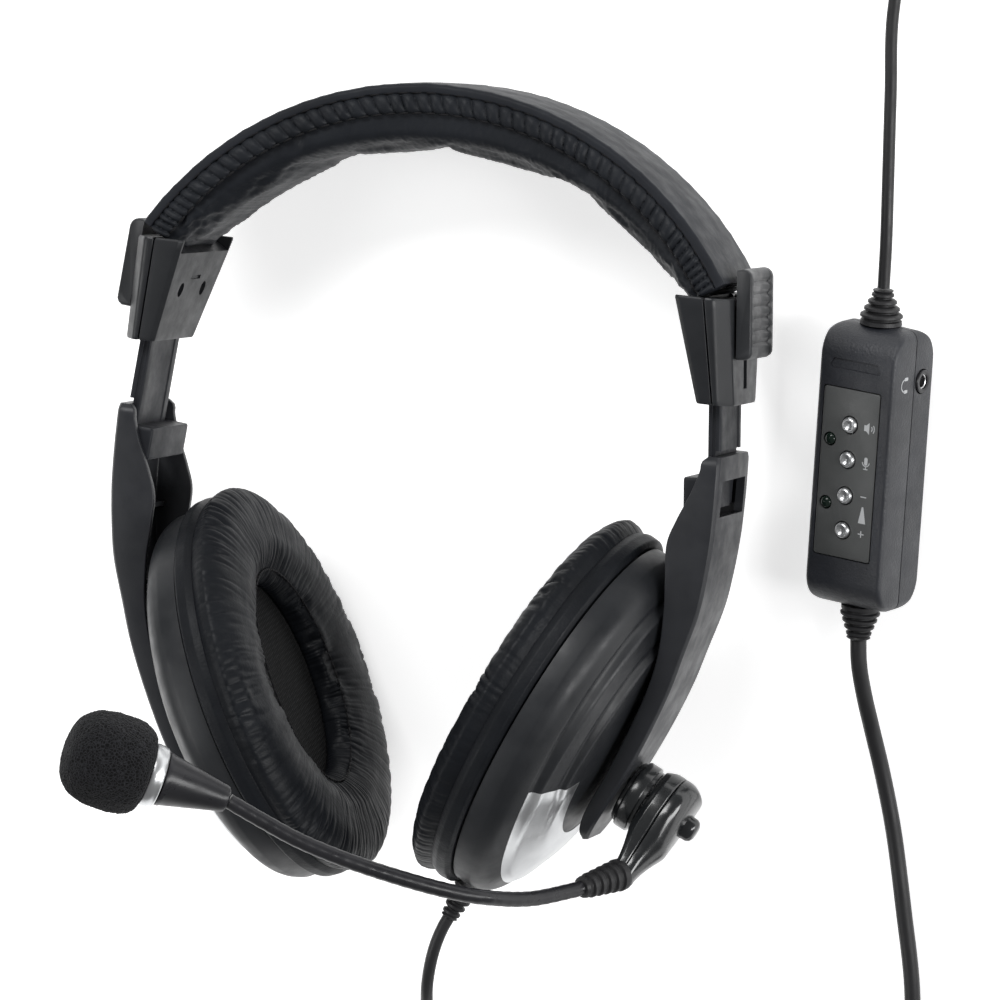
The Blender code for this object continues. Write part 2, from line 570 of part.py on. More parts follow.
def build_microphone(slider):
    """Swivel on the arm's lower end, flexible boom, and the capsule in its foam cover."""
    lean = (0, math.pi / 2 + SWIVEL_LEAN, 0)
    axis = Vector((math.cos(SWIVEL_LEAN), 0, -math.sin(SWIVEL_LEAN)))
    down = Vector((-math.sin(SWIVEL_LEAN), 0, -math.cos(SWIVEL_LEAN)))
    boss = rod_mesh("boss", BOSS_RADIUS, BOSS_LENGTH, 24)
    place(boss, "mic_boss", GLOSS, slider, SWIVEL_AT + axis * 0.6 * MM, lean)
    boom = empty("mic_swivel", slider, SWIVEL_AT + axis * (0.6 * MM + BOSS_LENGTH + GAP), lean)
    # In the swivel's own axes Z is the axle, X points down along the arm and Y to the wearer's back
    for half, low, high in (("inner", 0.0, 4.6), ("outer", 4.9, 10.2)):
        rings = []
        for k in range(17):
            s = k / 16
            x = -9.2 + (9.2 + TAIL_END) * s
            half_width = drop_width(x)
            top = high if half == "inner" else 4.9 + 5.3 * min(1.0, half_width / 6.5)
            lift = low if half == "outer" else 4.6 - 4.6 * min(1.0, half_width / 6.5)
            rings.append(drop_ring(x, half_width, lift, top, half == "outer"))
        mesh = loft("swivel_" + half, rings)
        part = smooth(place(mesh, f"mic_swivel_{half}", GLOSS, boom, (0, 0, 0), (0, 0, BOOM_SWING)), 50)
        if half == "outer":
            stop = rod_mesh("stop", 3.0 * MM, 5.0 * MM, 14)
            cut(part, stop, "UNION", (0, 0, 8.6 * MM), (0, 0, 0))
    to_boom = boom_matrix(boom).inverted()
    route = [to_boom @ p for p in smooth_route(BOOM_ROUTE, 4.0 * MM)]
    tube("mic_boom", BLACK, route, BOOM_RADIUS, boom)
    start = to_boom @ (Vector(BOOM_ROUTE[0]) * MM)
    root = Matrix.Rotation(BOOM_SWING, 3, "Z") @ Vector((TAIL_END + 2.4, 0, 4.75)) * MM
    aim = (start - root)
    root_end = -aim.length / MM + 0.4
    profile = [(0.0, -0.4), (3.0, -0.4), (3.4, -1.2), (3.0, -1.6), (3.6, -2.4), (3.2, -2.8), (3.8, -3.6),
               (3.8, root_end), (0.0, root_end)]
    turned("boom_sleeve", RUBBER, profile, 16, parent=boom, location=start,
           rotation=aim.to_track_quat("Z", "Y").to_euler())
    build_capsule(boom, to_boom)


def drop_width(x):
    """Half width of the teardrop at a distance x below the axle, in millimetres."""
    if x < 2.0:
        return max(0.8, math.sqrt(max(0.0, 9.4 ** 2 - (x * 0.98) ** 2)))
    t = (x - 2.0) / (TAIL_END - 2.0)
    return 9.2 + (3.4 - 9.2) * (t * t * (3 - 2 * t)) ** 0.8


def drop_ring(x, half, low, high, crowned):
    """Section of the teardrop across its length."""
    middle = high - low
    if crowned:
        points = [(-half, low), (half, low), (half * 0.96, low + 0.4 * middle),
                  (half * 0.7, low + 0.85 * middle), (0, high), (-half * 0.7, low + 0.85 * middle),
                  (-half * 0.96, low + 0.4 * middle)]
    else:
        points = [(-half * 0.8, low), (half * 0.8, low), (half, low + 0.35 * middle),
                  (half, high - 0.1 * middle), (half * 0.98, high), (-half * 0.98, high),
                  (-half, high - 0.1 * middle)]
    return [(x * MM, y * MM, z * MM) for y, z in points]


def boom_matrix(boom):
    """The boom empty's matrix inside the slider's axes."""
    return Matrix.Translation(boom.location) @ boom.rotation_euler.to_matrix().to_4x4()


def build_capsule(boom, to_boom):
    axis = (HOLDER_TO - HOLDER_FROM).normalized()
    local_axis = to_boom.to_3x3() @ axis
    turn = (-local_axis).to_track_quat("Z", "Y").to_euler()
    begin = to_boom @ HOLDER_FROM
    span = (HOLDER_TO - HOLDER_FROM).length / MM
    turned("mic_holder", BLACK, [(0, -0.3), (2.9, -0.3), (3.4, -1.2), (6.2, -span + 0.8), (6.2, -span),
                                 (0, -span)], 20, parent=boom, location=begin, rotation=turn)
    turned("mic_ring", SILVER, [(0, -span - 0.3), (6.9, -span - 0.3), (7.0, -span - 1.0), (7.3, -span - 3.4),
                                (0, -span - 3.4)], 20, parent=boom, location=begin, rotation=turn)
    turned("mic_capsule", STEEL, [(0, -span - 3.7), (4.8, -span - 3.7), (4.8, -span - 9.9), (0, -span - 9.9)],
           16, parent=boom, location=begin, rotation=turn)
    base = -span - 3.7
    turned("windscreen", FOAM, [(0, base - 6.6), (5.2, base - 6.6), (5.2, base), (8.6, base - 0.3),
                                (10.2, base - 2.6), (10.6, base - 7.0), (10.4, base - 12.0),
                                (9.2, base - 16.2), (5.8, base - 18.9), (0, base - 19.5)], 20, parent=boom,
           location=begin, rotation=turn)


# ---------------------------------------------------------------------------- remote
def end_depth(y, full):
    """Depth of the remote's side at a distance y along it, with rounded ends."""
    over = abs(y) - (REMOTE_LENGTH / 2 - REMOTE_END_RADIUS)
    if over <= 0:
        return full
    r = REMOTE_END_RADIUS
    return max(0.5 * MM, full - r + math.sqrt(max(0.0, r * r - over * over)))


def remote_half(front):
    half = REMOTE_WIDTH / 2
    straight = REMOTE_LENGTH / 2 - REMOTE_END_RADIUS
    steps = [straight + REMOTE_END_RADIUS * math.sin(math.pi / 2 * k / 6) for k in range(7)]
    stations = [-y for y in reversed(steps)] + steps
    rings = []
    for y in stations:
        if front:
            depth = end_depth(y, REMOTE_FRONT)
            soft = min(1.0 * MM, depth * 0.5)
            low = GAP / 2
            ring = [(-half, y, low), (-half, y, depth - soft), (-half + soft, y, depth),
                    (half - soft, y, depth), (half, y, depth - soft), (half, y, low)]
        else:
            depth = end_depth(y, REMOTE_REAR)
            keel = REMOTE_KEEL * depth / REMOTE_REAR
            low = -GAP / 2
            ring = [(half, y, low), (half, y, -depth), (0, y, -depth - keel), (-half, y, -depth),
                    (-half, y, low)]
        rings.append(ring)
    return loft("remote_half", rings)


def build_remote():
    remote = empty("remote_axes", TABLE, REMOTE_AT, (0, -REMOTE_ROLL, 0))
    front = place(remote_half(True), "remote_front_shell", REMOTE, remote)
    rear = place(remote_half(False), "remote_rear_shell", REMOTE, remote)
    cavity = (REMOTE_WIDTH - 3.6 * MM, REMOTE_LENGTH - 9 * MM)
    cut(front, box_mesh("front_cavity", (*cavity, 13.4 * MM)))
    cut(rear, box_mesh("rear_cavity", (*cavity, 12.6 * MM)))
    plate_size = (15.4 * MM, 40.6 * MM, 0.8 * MM)
    plate_at = Vector((-0.6 * MM, -0.9 * MM, REMOTE_FRONT - 0.25 * MM))
    recess = box_mesh("plate_recess", (plate_size[0] + 2 * GAP, plate_size[1] + 2 * GAP, 1.7 * MM))
    cut(front, recess, location=plate_at)
    plate = place(box_mesh("plate", plate_size), "remote_face_plate", PLATE, remote, plate_at)
    for label, y in BUTTON_Y.items():
        for body in (front, plate):
            cut(body, rod_mesh("button_hole", BUTTON_RADIUS + GAP, 8 * MM, 16),
                location=(BUTTON_X, y, 5 * MM))
        turned(f"button_{label}", SILVER, [(0, 1.0), (1.2, 0.9), (1.8, 0.5), (2.0, 0.0), (2.0, -3.2),
                                           (0, -3.2)], 16, parent=remote,
               location=(BUTTON_X, y, REMOTE_FRONT + 0.15 * MM))
    for label, y in LIGHT_Y.items():
        for body in (front, plate):
            cut(body, rod_mesh("light_hole", 1.45 * MM + GAP, 8 * MM, 14), location=(LIGHT_X, y, 5 * MM))
        turned(f"remote_{label}", LENS, [(0, 0.5), (1.0, 0.3), (1.45, -0.3), (1.45, -3.0), (0, -3.0)], 14,
               parent=remote, location=(LIGHT_X, y, REMOTE_FRONT + 0.15 * MM))
    place(box_mesh("board", (16.0 * MM, 56.0 * MM, 1.6 * MM)), "remote_board", BOARD, remote,
          (0, 0, 2.0 * MM))
    jack_at = Vector((REMOTE_WIDTH / 2 + 0.5 * MM, 21.6 * MM, -3.4 * MM))
    cut(rear, rod_mesh("jack_hole", 3.1 * MM, 9 * MM, 18), location=jack_at + Vector((-7 * MM, 0, 0)),
        rotation=(0, math.pi / 2, 0))
    turned("headphone_socket", BLACK, [(0, -7.6), (1.8, -7.6), (1.8, 0.0), (2.8, 0.0), (2.8, -9.0),
                                       (0, -9.0)], 18, parent=remote, location=jack_at,
           rotation=(0, math.pi / 2, 0))
    ribs = [(0, 0), (2.2, 0), (3.0, -0.4), (3.1, -1.0), (2.4, -1.5), (3.8, -2.0), (3.9, -2.8), (3.0, -3.3),
            (4.6, -3.9), (4.8, -4.8), (4.0, -5.3), (5.0, -5.9), (5.0, -7.8), (0, -7.8)]
    end = REMOTE_LENGTH / 2 + 8.4 * MM
    turned("remote_sleeve_top", RUBBER, ribs, 18, parent=remote, location=(0, end, -0.2 * MM),
           rotation=(-math.pi / 2, 0, 0))
    low_ribs = [(0, 0), (2.6, 0), (3.0, -0.7), (2.6, -1.2), (3.3, -1.7), (3.5, -2.4), (2.9, -2.9),
                (4.0, -3.4), (4.2, -4.2), (3.4, -4.7), (4.6, -5.2), (4.9, -6.0), (4.9, -7.8), (0, -7.8)]
    turned("remote_sleeve_bottom", RUBBER, low_ribs, 18, parent=remote, location=(0, -end, -0.2 * MM),
           rotation=(math.pi / 2, 0, 0))


# ---------------------------------------------------------------------------- leads
def build_leads(cup):
    sleeve = [(0, 0.0), (2.1, 0.0), (2.5, 0.9), (2.2, 1.4), (2.8, 2.6), (2.5, 3.2), (3.1, 4.6), (3.1, 9.0),
              (0, 9.0)]
    turned("cord_sleeve", RUBBER, [(r, -h) for r, h in sleeve], 16, parent=cup,
           location=(1.6 * MM, 0, -CUP_HALF_LONG - 10.2 * MM), rotation=(math.pi, 0, 0))
    tube("headset_cord", CORD, smooth_route(HEADSET_CORD_ROUTE, 9.5 * MM), HEADSET_CORD_RADIUS, TABLE)
    tube("usb_cord", CORD, smooth_route(USB_CORD_ROUTE, 8.0 * MM), USB_CORD_RADIUS, TABLE)
    inner = (COIL_MEAN_RADIUS - COIL_HALF_WIDTH) / MM
    outer = (COIL_MEAN_RADIUS + COIL_HALF_WIDTH) / MM
    top = COIL_HEIGHT / MM
    ring = [(outer - 2.0, top), (outer, top - 2.0), (outer, 2.3), (outer - 2.0, 0.3), (inner + 2.0, 0.3),
            (inner, 2.3), (inner, top - 2.0), (inner + 2.0, top), (outer - 2.0, top)]
    turned("cord_coil", CORD, ring, 28, parent=TABLE, location=COIL_AT)
    tube("usb_tail", CORD, smooth_route(USB_TAIL_ROUTE, 6.0 * MM), USB_CORD_RADIUS, TABLE)
    tie = place(box_mesh("tie", (2 * COIL_HALF_WIDTH + 2.4 * MM, 6.0 * MM, COIL_HEIGHT + 0.9 * MM)),
                "cord_tie", BLACK, TABLE, COIL_AT + Vector((0, COIL_MEAN_RADIUS,
                                                            COIL_HEIGHT / 2 + 0.45 * MM)),
                (0, 0, math.pi / 2))
    cut(tie, box_mesh("tie_hole", (2 * COIL_HALF_WIDTH + 1.2 * MM, 20 * MM, COIL_HEIGHT + 0.3 * MM)),
        location=COIL_AT + Vector((0, COIL_MEAN_RADIUS, COIL_HEIGHT / 2 + 0.15 * MM)),
        rotation=(0, 0, math.pi / 2))
    place(box_mesh("plug_body", (16.0 * MM, 33.0 * MM, 8.0 * MM), (0, -6.5 * MM, 0), 1.6 * MM), "plug_body",
          BLACK, TABLE, PLUG_AT)
    shell = place(box_mesh("plug_shell", (12.0 * MM, 18.4 * MM, 4.5 * MM), (0, 19.5 * MM, 0)), "plug_shell",
                  STEEL, TABLE, PLUG_AT)
    cut(shell, box_mesh("plug_mouth", (11.4 * MM, 20 * MM, 2.0 * MM), (0, 21.5 * MM, 0.95 * MM)),
        location=PLUG_AT)


# ---------------------------------------------------------------------------- the object
clear_scene()
PARTS = collection("office_headset")
CUTTERS = collection("cutters")
LEATHERETTE = material("leatherette", (0.012, 0.013, 0.014), 0.45)
HOUSING = material("housing_plastic", (0.022, 0.023, 0.025), 0.45)
STRAP = material("strap_plastic", (0.06, 0.062, 0.066), 0.5)
GRIP = material("grip_plastic", (0.05, 0.052, 0.056), 0.5)
ARM = material("arm_plastic", (0.05, 0.052, 0.058), 0.42)
SHELL = material("shell_plastic", (0.014, 0.015, 0.017), 0.3)
RING = material("ring_plastic", (0.02, 0.021, 0.023), 0.45)
SILVER = material("silver_plating", (0.62, 0.63, 0.64), 0.28, 0.9)
GLOSS = material("gloss_plastic", (0.01, 0.011, 0.012), 0.16)
BLACK = material("black_plastic", (0.012, 0.012, 0.013), 0.35)
RUBBER = material("rubber", (0.012, 0.012, 0.013), 0.55)
CORD = material("cord_jacket", (0.014, 0.014, 0.015), 0.5)
FOAM = material("foam", (0.008, 0.008, 0.009), 0.95)
STEEL = material("steel", (0.5, 0.5, 0.5), 0.35, 1.0)
DRIVER = material("driver_cone", (0.02, 0.02, 0.02), 0.7)
CLOTH = material("ear_cloth", (0.02, 0.02, 0.02), 0.9)
REMOTE = material("remote_plastic", (0.025, 0.026, 0.03), 0.5)
PLATE = material("remote_plate", (0.06, 0.062, 0.06), 0.4)
LENS = material("light_lens", (0.01, 0.02, 0.015), 0.1)
BOARD = material("board", (0.02, 0.12, 0.05), 0.5)
BOOM_SWING = math.radians(-36)

HEADSET = empty("headset_frame", None, FRAME_AT, (-math.pi / 2 - REST_TILT, 0, 0))
TABLE = empty("table_frame", None, TABLE_AT)
build_headband()
left_slider, left_cup = build_side(-1, "left")
right_slider, right_cup = build_side(1, "right")
build_microphone(right_slider)
build_remote()
build_leads(right_cup)
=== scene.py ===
"""How the office headset looks: its camera, leads, leatherette, mouldings, foam and remote control.

Shapes of the headset are drawn as worn, in millimetres: X across the head, Y from front to back, Z up.
head_axes() finds where those axes lie from the joints in the record.
"""
import json
import math

import bmesh
import bpy
import numpy as np
from mathutils import Euler, Matrix, Vector, noise

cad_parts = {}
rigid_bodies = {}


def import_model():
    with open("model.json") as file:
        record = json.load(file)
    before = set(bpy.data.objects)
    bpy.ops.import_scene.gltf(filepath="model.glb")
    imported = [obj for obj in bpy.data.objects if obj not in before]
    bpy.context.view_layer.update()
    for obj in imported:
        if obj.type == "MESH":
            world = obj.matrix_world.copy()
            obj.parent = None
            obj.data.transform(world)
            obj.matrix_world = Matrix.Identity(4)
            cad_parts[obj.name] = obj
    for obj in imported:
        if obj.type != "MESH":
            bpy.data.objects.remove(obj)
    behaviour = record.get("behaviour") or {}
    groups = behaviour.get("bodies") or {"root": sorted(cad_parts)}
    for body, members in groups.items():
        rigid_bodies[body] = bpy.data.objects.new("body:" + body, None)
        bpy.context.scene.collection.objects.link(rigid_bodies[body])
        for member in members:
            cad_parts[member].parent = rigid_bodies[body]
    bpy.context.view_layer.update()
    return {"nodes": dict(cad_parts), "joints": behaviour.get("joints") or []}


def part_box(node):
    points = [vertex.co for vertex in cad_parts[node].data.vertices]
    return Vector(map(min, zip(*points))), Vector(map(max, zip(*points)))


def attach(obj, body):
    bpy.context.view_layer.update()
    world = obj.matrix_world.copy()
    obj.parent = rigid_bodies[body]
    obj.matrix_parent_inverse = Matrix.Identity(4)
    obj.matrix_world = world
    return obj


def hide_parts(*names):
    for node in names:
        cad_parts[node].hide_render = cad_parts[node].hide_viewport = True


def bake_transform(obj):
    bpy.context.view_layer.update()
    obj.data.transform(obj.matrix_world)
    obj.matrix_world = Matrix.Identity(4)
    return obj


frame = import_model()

MM = 0.001
JOINTS = {joint["name"]: joint for joint in frame["joints"]}
SIDES = (("left", -1), ("right", 1))

# ------------------------------------------------------------------ sizes, in millimetres unless times MM
BAND_AXIS_Z = 13.6
BAND_HALF_ANGLE = math.radians(58)
COVER_HALF_WIDTH, COVER_INNER, COVER_OUTER = 18.4, 81.45, 83.75
ROLL_RADIUS, ROLL_Y = 79.1, 17.0
STITCH_RADIUS, STITCH_PITCH = 80, 3.4
LINER_TOP, LINER_RUN_RADIUS = 80.9, 74
PIVOT = Vector((65.3, 0, -26.9)) * MM
CUP_CENTRE = {1: Vector((37.1, 0, -48.6)) * MM, -1: Vector((-35.6, 0, -48.4)) * MM}
CUP_TILT = {1: math.radians(24.5), -1: math.radians(26)}
CUP_TOE = {1: math.radians(-2.5), -1: math.radians(5)}
CUP_LONG, CUP_SHORT = 46.0, 39.0
TRIM_HALF_TURN = 72
PAD_STITCHES, PAD_STITCH_INSET, PAD_STITCH_DEPTH = 84, 19.2, -10.9
SLIDE_LEAN = math.radians(5)
MOUTH = Vector((70.0, 0, 29.5)) * MM
HOUSING_HEIGHT = 25.0
SCREW_Y, SCREW_Z = 8.5, 12.5
SWIVEL = Vector((55.36, 0, -64.35)) * MM
SWIVEL_LEAN = math.radians(25)
BOSS_START, BOSS_LENGTH = 0.6, 5.6
BOOM_SWING = math.radians(-36)
REMOTE_ROLL = math.radians(20)
REMOTE_WIDTH, REMOTE_LENGTH, REMOTE_FRONT, REMOTE_REAR = 21.0, 68.0, 9.3, 8.1
SOCKET_Y, SOCKET_Z = 21.6, -3.4
FACE_PLATE_AT = (-0.6, -0.9, 9.05)


# ------------------------------------------------------------------ axes
def shift(x, y, z):
    """A move by a number of millimetres each way."""
    return Matrix.Translation(Vector((x, y, z)) * MM)


def rotation(x, y, z, order="XYZ"):
    return Euler((x, y, z), order).to_matrix().to_4x4()


def pointing(way):
    """A turn that aims Z along a direction."""
    return way.to_track_quat("Z", "Y").to_matrix().to_4x4()


def head_axes():
    """The headset's own axes, from the directions and places of its joints."""
    right = Vector(JOINTS["slide_right"]["axis"])
    left = Vector(JOINTS["slide_left"]["axis"])
    x = (right - left).normalized()
    z = -(right + left).normalized()
    turn = Matrix((x, z.cross(x), z)).transposed()
    at = Vector(JOINTS["cup_tilt_right"]["pos_m"]) - turn @ PIVOT
    return Matrix.Translation(at) @ turn.to_4x4()


def slider_axes(side):
    """The head's axes, moved with the slider on that side."""
    tag = "right" if side > 0 else "left"
    pivot = Vector(JOINTS[f"cup_tilt_{tag}"]["pos_m"])
    turn = HEAD.to_3x3()
    at = pivot - turn @ Vector((PIVOT.x * side, 0, PIVOT.z))
    return Matrix.Translation(at) @ turn.to_4x4()


def cup_axes(side):
    """X out of the cup, Z along its long axis."""
    turn = CUP_TOE[side] if side > 0 else math.pi - CUP_TOE[side]
    place = Matrix.Translation(CUP_CENTRE[side])
    return slider_axes(side) @ place @ rotation(0, side * CUP_TILT[side], turn, "ZYX")


def swivel_axes():
    """Z along the microphone's axle, X down the arm, Y to the wearer's back."""
    axis = Vector((math.cos(SWIVEL_LEAN), 0, -math.sin(SWIVEL_LEAN)))
    at = SWIVEL + axis * BOSS_START * MM
    return slider_axes(1) @ Matrix.Translation(at) @ rotation(0, math.pi / 2 + SWIVEL_LEAN, 0)


def remote_axes():
    """X across the remote's face, Y along it, Z out of it, with the origin on its parting line."""
    low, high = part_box("remote_board")
    turn = Euler((0, -REMOTE_ROLL, 0)).to_matrix()
    return Matrix.Translation((low + high) / 2 - turn @ Vector((0, 0, 2.0 * MM))) @ turn.to_4x4()


HEAD = head_axes()
TABLE = Matrix.Translation((HEAD.translation.x, HEAD.translation.y - 0.2 * MM, 0))


# ------------------------------------------------------------------ camera
def in_scene(name, data):
    """A new object made of this mesh, curve, camera or lamp, in the scene."""
    obj = bpy.data.objects.new(name, data)
    bpy.context.scene.collection.objects.link(obj)
    return obj


def add_camera():
    """In front of the wearer's face, a little to their left and above, with a slight roll."""
    azimuth, height, roll = math.radians(14.5), math.radians(5.0), math.radians(5.5)
    away = Vector((math.sin(azimuth) * math.cos(height), -math.cos(azimuth) * math.cos(height),
                   math.sin(height)))
    level = Vector((math.cos(azimuth), math.sin(azimuth), 0))
    upright = away.cross(level)
    right = level * math.cos(roll) + upright * math.sin(roll)
    up = upright * math.cos(roll) - level * math.sin(roll)
    distance, aim_right, aim_up = 1.5, 0.01724, -0.00178
    at = away * distance + right * aim_right + up * aim_up
    camera = bpy.data.cameras.new("camera")
    camera.lens = 226.8
    camera.sensor_width = 36
    camera.clip_start = 0.05
    camera.clip_end = 20
    obj = in_scene("camera", camera)
    obj.matrix_world = HEAD @ Matrix.Translation(at) @ Matrix((right, up, away)).transposed().to_4x4()
    bpy.context.scene.camera = obj


add_camera()


# ------------------------------------------------------------------ materials
def node(tree, kind, inputs=None, **settings):
    """A shader node with its settings; an input may be a number, a colour or another node's output."""
    made = tree.nodes.new(kind)
    for name, value in settings.items():
        setattr(made, name, value)
    for key, value in (inputs or {}).items():
        if isinstance(value, bpy.types.NodeSocket):
            tree.links.new(value, made.inputs[key])
        else:
            made.inputs[key].default_value = value
    return made


def ramp(tree, factor, stops):
    made = node(tree, "ShaderNodeValToRGB", {"Fac": factor})
    elements = made.color_ramp.elements
    while len(elements) < len(stops):
        elements.new(0.5)
    for element, (place, value) in zip(elements, stops):
        element.position = place
        element.color = (value, value, value, 1) if isinstance(value, float) else (*value, 1)
    return made.outputs["Color"]


def start_material(name, **sockets):
    """A material, its tree, its shader with the sockets named set, and places on the piece."""
    made = bpy.data.materials.new(name)
    made.use_nodes = True
    shader = made.node_tree.nodes["Principled BSDF"]
    for key, value in sockets.items():
        shader.inputs[key.replace("_", " ").title().replace("Ior", "IOR")].default_value = value
    where = node(made.node_tree, "ShaderNodeTexCoord").outputs["Object"]
    return made, made.node_tree, shader, where


def noise_at(tree, where, size, detail=3.0, rough=0.5):
    """Noise whose features are about size metres across."""
    inputs = {"Vector": where, "Scale": 1 / size, "Detail": detail, "Roughness": rough}
    return node(tree, "ShaderNodeTexNoise", inputs).outputs[0]


def product(tree, first, second):
    return node(tree, "ShaderNodeMath", {0: first, 1: second}, operation="MULTIPLY").outputs[0]


def finish_material(tree, shader, where, colour, roughness, tint=0.12, smudge=0.08, wear_and_highlight=0.25):
    """Colour that varies a little, roughness with handling marks, and edges painted lighter, partly as wear
    and partly as a painted highlight.
    """
    dark = tuple(c * (1 - tint) for c in colour)
    light = tuple(c * (1 + tint) for c in colour)
    base = ramp(tree, noise_at(tree, where, 0.012, 4), [(0.3, dark), (0.7, light)])
    # Pointiness picks out the edges, which are mixed towards a lighter colour: partly wear, partly a painted
    # highlight.
    edge = ramp(tree, node(tree, "ShaderNodeNewGeometry").outputs["Pointiness"], [(0.52, 0.0), (0.6, 1.0)])
    wear_and_highlight_colour = tuple(min(1.0, c * 2.2 + 0.012) for c in colour)
    mixed = node(tree, "ShaderNodeMix", {"Factor": product(tree, edge, wear_and_highlight)}, data_type="RGBA")
    # The colour sockets of a Mix node share their names with its number sockets, so they are set by place
    tree.links.new(base, mixed.inputs[6])
    mixed.inputs[7].default_value = (*wear_and_highlight_colour, 1)
    tree.links.new(mixed.outputs[2], shader.inputs["Base Color"])
    handling = noise_at(tree, where, 0.007, 5, 0.65)
    marks = ramp(tree, handling, [(0.35, roughness - smudge), (0.65, roughness + smudge)])
    tree.links.new(marks, shader.inputs["Roughness"])


def bump(tree, shader, height, depth, strength=1.0, under=None):
    made = node(tree, "ShaderNodeBump", {"Height": height, "Distance": depth, "Strength": strength})
    if under:
        tree.links.new(under, made.inputs["Normal"])
    tree.links.new(made.outputs[0], shader.inputs["Normal"])
    return made.outputs[0]


def moulded(name, colour, roughness, grain=0.0005, depth=0.00001, wear_and_highlight=0.25, **sockets):
    """Moulded plastic with a fine grain and a slightly uneven surface."""
    made, tree, shader, where = start_material(name, **{"specular_ior_level": 0.3, **sockets})
    finish_material(tree, shader, where, colour, roughness, wear_and_highlight=wear_and_highlight)
    uneven = bump(tree, shader, noise_at(tree, where, 0.009, 2), 0.00008, 0.35)
    bump(tree, shader, noise_at(tree, where, grain, 3), depth, 1.0, uneven)
    return made


def sparked(name, colour, roughness, grain, depth):
    """Plastic from a spark-eroded mould: small hard bumps with glints."""
    made, tree, shader, where = start_material(name)
    finish_material(tree, shader, where, colour, roughness, tint=0.2, wear_and_highlight=0.35)
    cells = node(tree, "ShaderNodeTexVoronoi", {"Vector": where, "Scale": 1 / grain}).outputs["Distance"]
    rough = noise_at(tree, where, grain * 0.6, 4, 0.7)
    first = bump(tree, shader, cells, depth, 0.8)
    bump(tree, shader, rough, depth, 1.0, first)
    return made


def leatherette(name, colour, roughness, grain=0.0007, depth=0.00006, crease=0.0):
    """Coated cloth with a pebbled grain; crease adds fine random folds."""
    made, tree, shader, where = start_material(name, specular_ior_level=0.13)
    finish_material(tree, shader, where, colour, roughness, tint=0.16, smudge=0.07, wear_and_highlight=0.1)
    pebbles = node(tree, "ShaderNodeTexVoronoi", {"Vector": where, "Scale": 1 / grain, "Randomness": 0.9},
                   feature="SMOOTH_F1").outputs["Distance"]
    under = bump(tree, shader, noise_at(tree, where, 0.0035, 4, 0.6), 0.0002, 0.35 + crease)
    bump(tree, shader, pebbles, depth, 0.7, under)
    return made


def metal(name, colour, roughness):
    """Plated or drawn metal with faint lines across its Z."""
    made, tree, shader, where = start_material(name, metallic=1.0)
    finish_material(tree, shader, where, colour, roughness, tint=0.05, smudge=0.06, wear_and_highlight=0.1)
    lines = node(tree, "ShaderNodeMapping", {"Vector": where, "Scale": Vector((1, 1, 30))}).outputs[0]
    bump(tree, shader, noise_at(tree, lines, 0.0006, 3), 0.000006, 0.6)
    return made


def cloth(name, colour, pitch):
    """Plain weave with threads a pitch apart."""
    made, tree, shader, where = start_material(name, sheen_weight=0.03, specular_ior_level=0.2, roughness=0.9)
    inputs = {"Vector": where, "Scale": 1 / (pitch * 6.283), "Distortion": 0.6, "Detail": 1.0}
    waves = [node(tree, "ShaderNodeTexWave", inputs, bands_direction=axis).outputs["Fac"] for axis in "YZ"]
    woven = product(tree, *waves)
    shade = ramp(tree, woven, [(0.0, tuple(c * 0.3 for c in colour)), (0.8, colour)])
    tree.links.new(shade, shader.inputs["Base Color"])
    bump(tree, shader, woven, pitch * 0.3, 0.9)
    return made


FOAM_CELL = 0.0007


def foam(name, colour):
    """Open-cell foam: painted shade darkens the pores between lighter struts."""
    made, tree, shader, where = start_material(name, roughness=1.0, specular_ior_level=0.2, sheen_weight=0.04)
    inputs = {"Vector": where, "Scale": 1 / FOAM_CELL}
    cells = node(tree, "ShaderNodeTexVoronoi", inputs, feature="DISTANCE_TO_EDGE").outputs["Distance"]
    struts = ramp(tree, cells, [(0.0, 1.0), (0.28, 0.0)])
    height = product(tree, struts, noise_at(tree, where, 0.0005, 4, 0.7))
    # The pores' darkness is painted shade inside the cells.
    shade = ramp(tree, height, [(0.1, tuple(c * 0.2 for c in colour)), (0.6, tuple(c * 2.2 for c in colour))])
    tree.links.new(shade, shader.inputs["Base Color"])
    bump(tree, shader, height, 0.0003, 1.0)
    return made


BAND_SKIN = leatherette("band_skin", (0.013, 0.0145, 0.018), 0.52, grain=0.0005, depth=0.00003)
ROLL_SKIN = leatherette("roll_skin", (0.012, 0.0135, 0.0165), 0.50, grain=0.0005, depth=0.00004)
LINER_SKIN = leatherette("liner_skin", (0.012, 0.0135, 0.0165), 0.45, grain=0.0005, depth=0.00004,
                         crease=0.25)
PAD_SKIN = leatherette("pad_skin", (0.007, 0.008, 0.010), 0.46, grain=0.0006, depth=0.00005, crease=0.2)
THREAD = leatherette("thread", (0.006, 0.006, 0.007), 0.6, grain=0.0002, depth=0.00003)
HOUSING = moulded("housing_black", (0.014, 0.015, 0.017), 0.38)
INNER_FACE = moulded("inner_face_black", (0.015, 0.016, 0.018), 0.42, specular_ior_level=0.2)
STRAP = moulded("strap_grey", (0.014, 0.015, 0.018), 0.46, specular_ior_level=0.14)
GRIP = moulded("grip_grey", (0.017, 0.018, 0.020), 0.44)
ARM = moulded("arm_grey", (0.017, 0.018, 0.021), 0.42)
SHELL = moulded("shell_black", (0.012, 0.013, 0.015), 0.42)
RING = moulded("ring_black", (0.015, 0.016, 0.018), 0.46)
GLOSS = moulded("gloss_black", (0.009, 0.010, 0.011), 0.22, depth=0.000003, specular_ior_level=0.5,
                coat_weight=0.3, coat_roughness=0.1)
BLACK = moulded("satin_black", (0.014, 0.014, 0.016), 0.32)
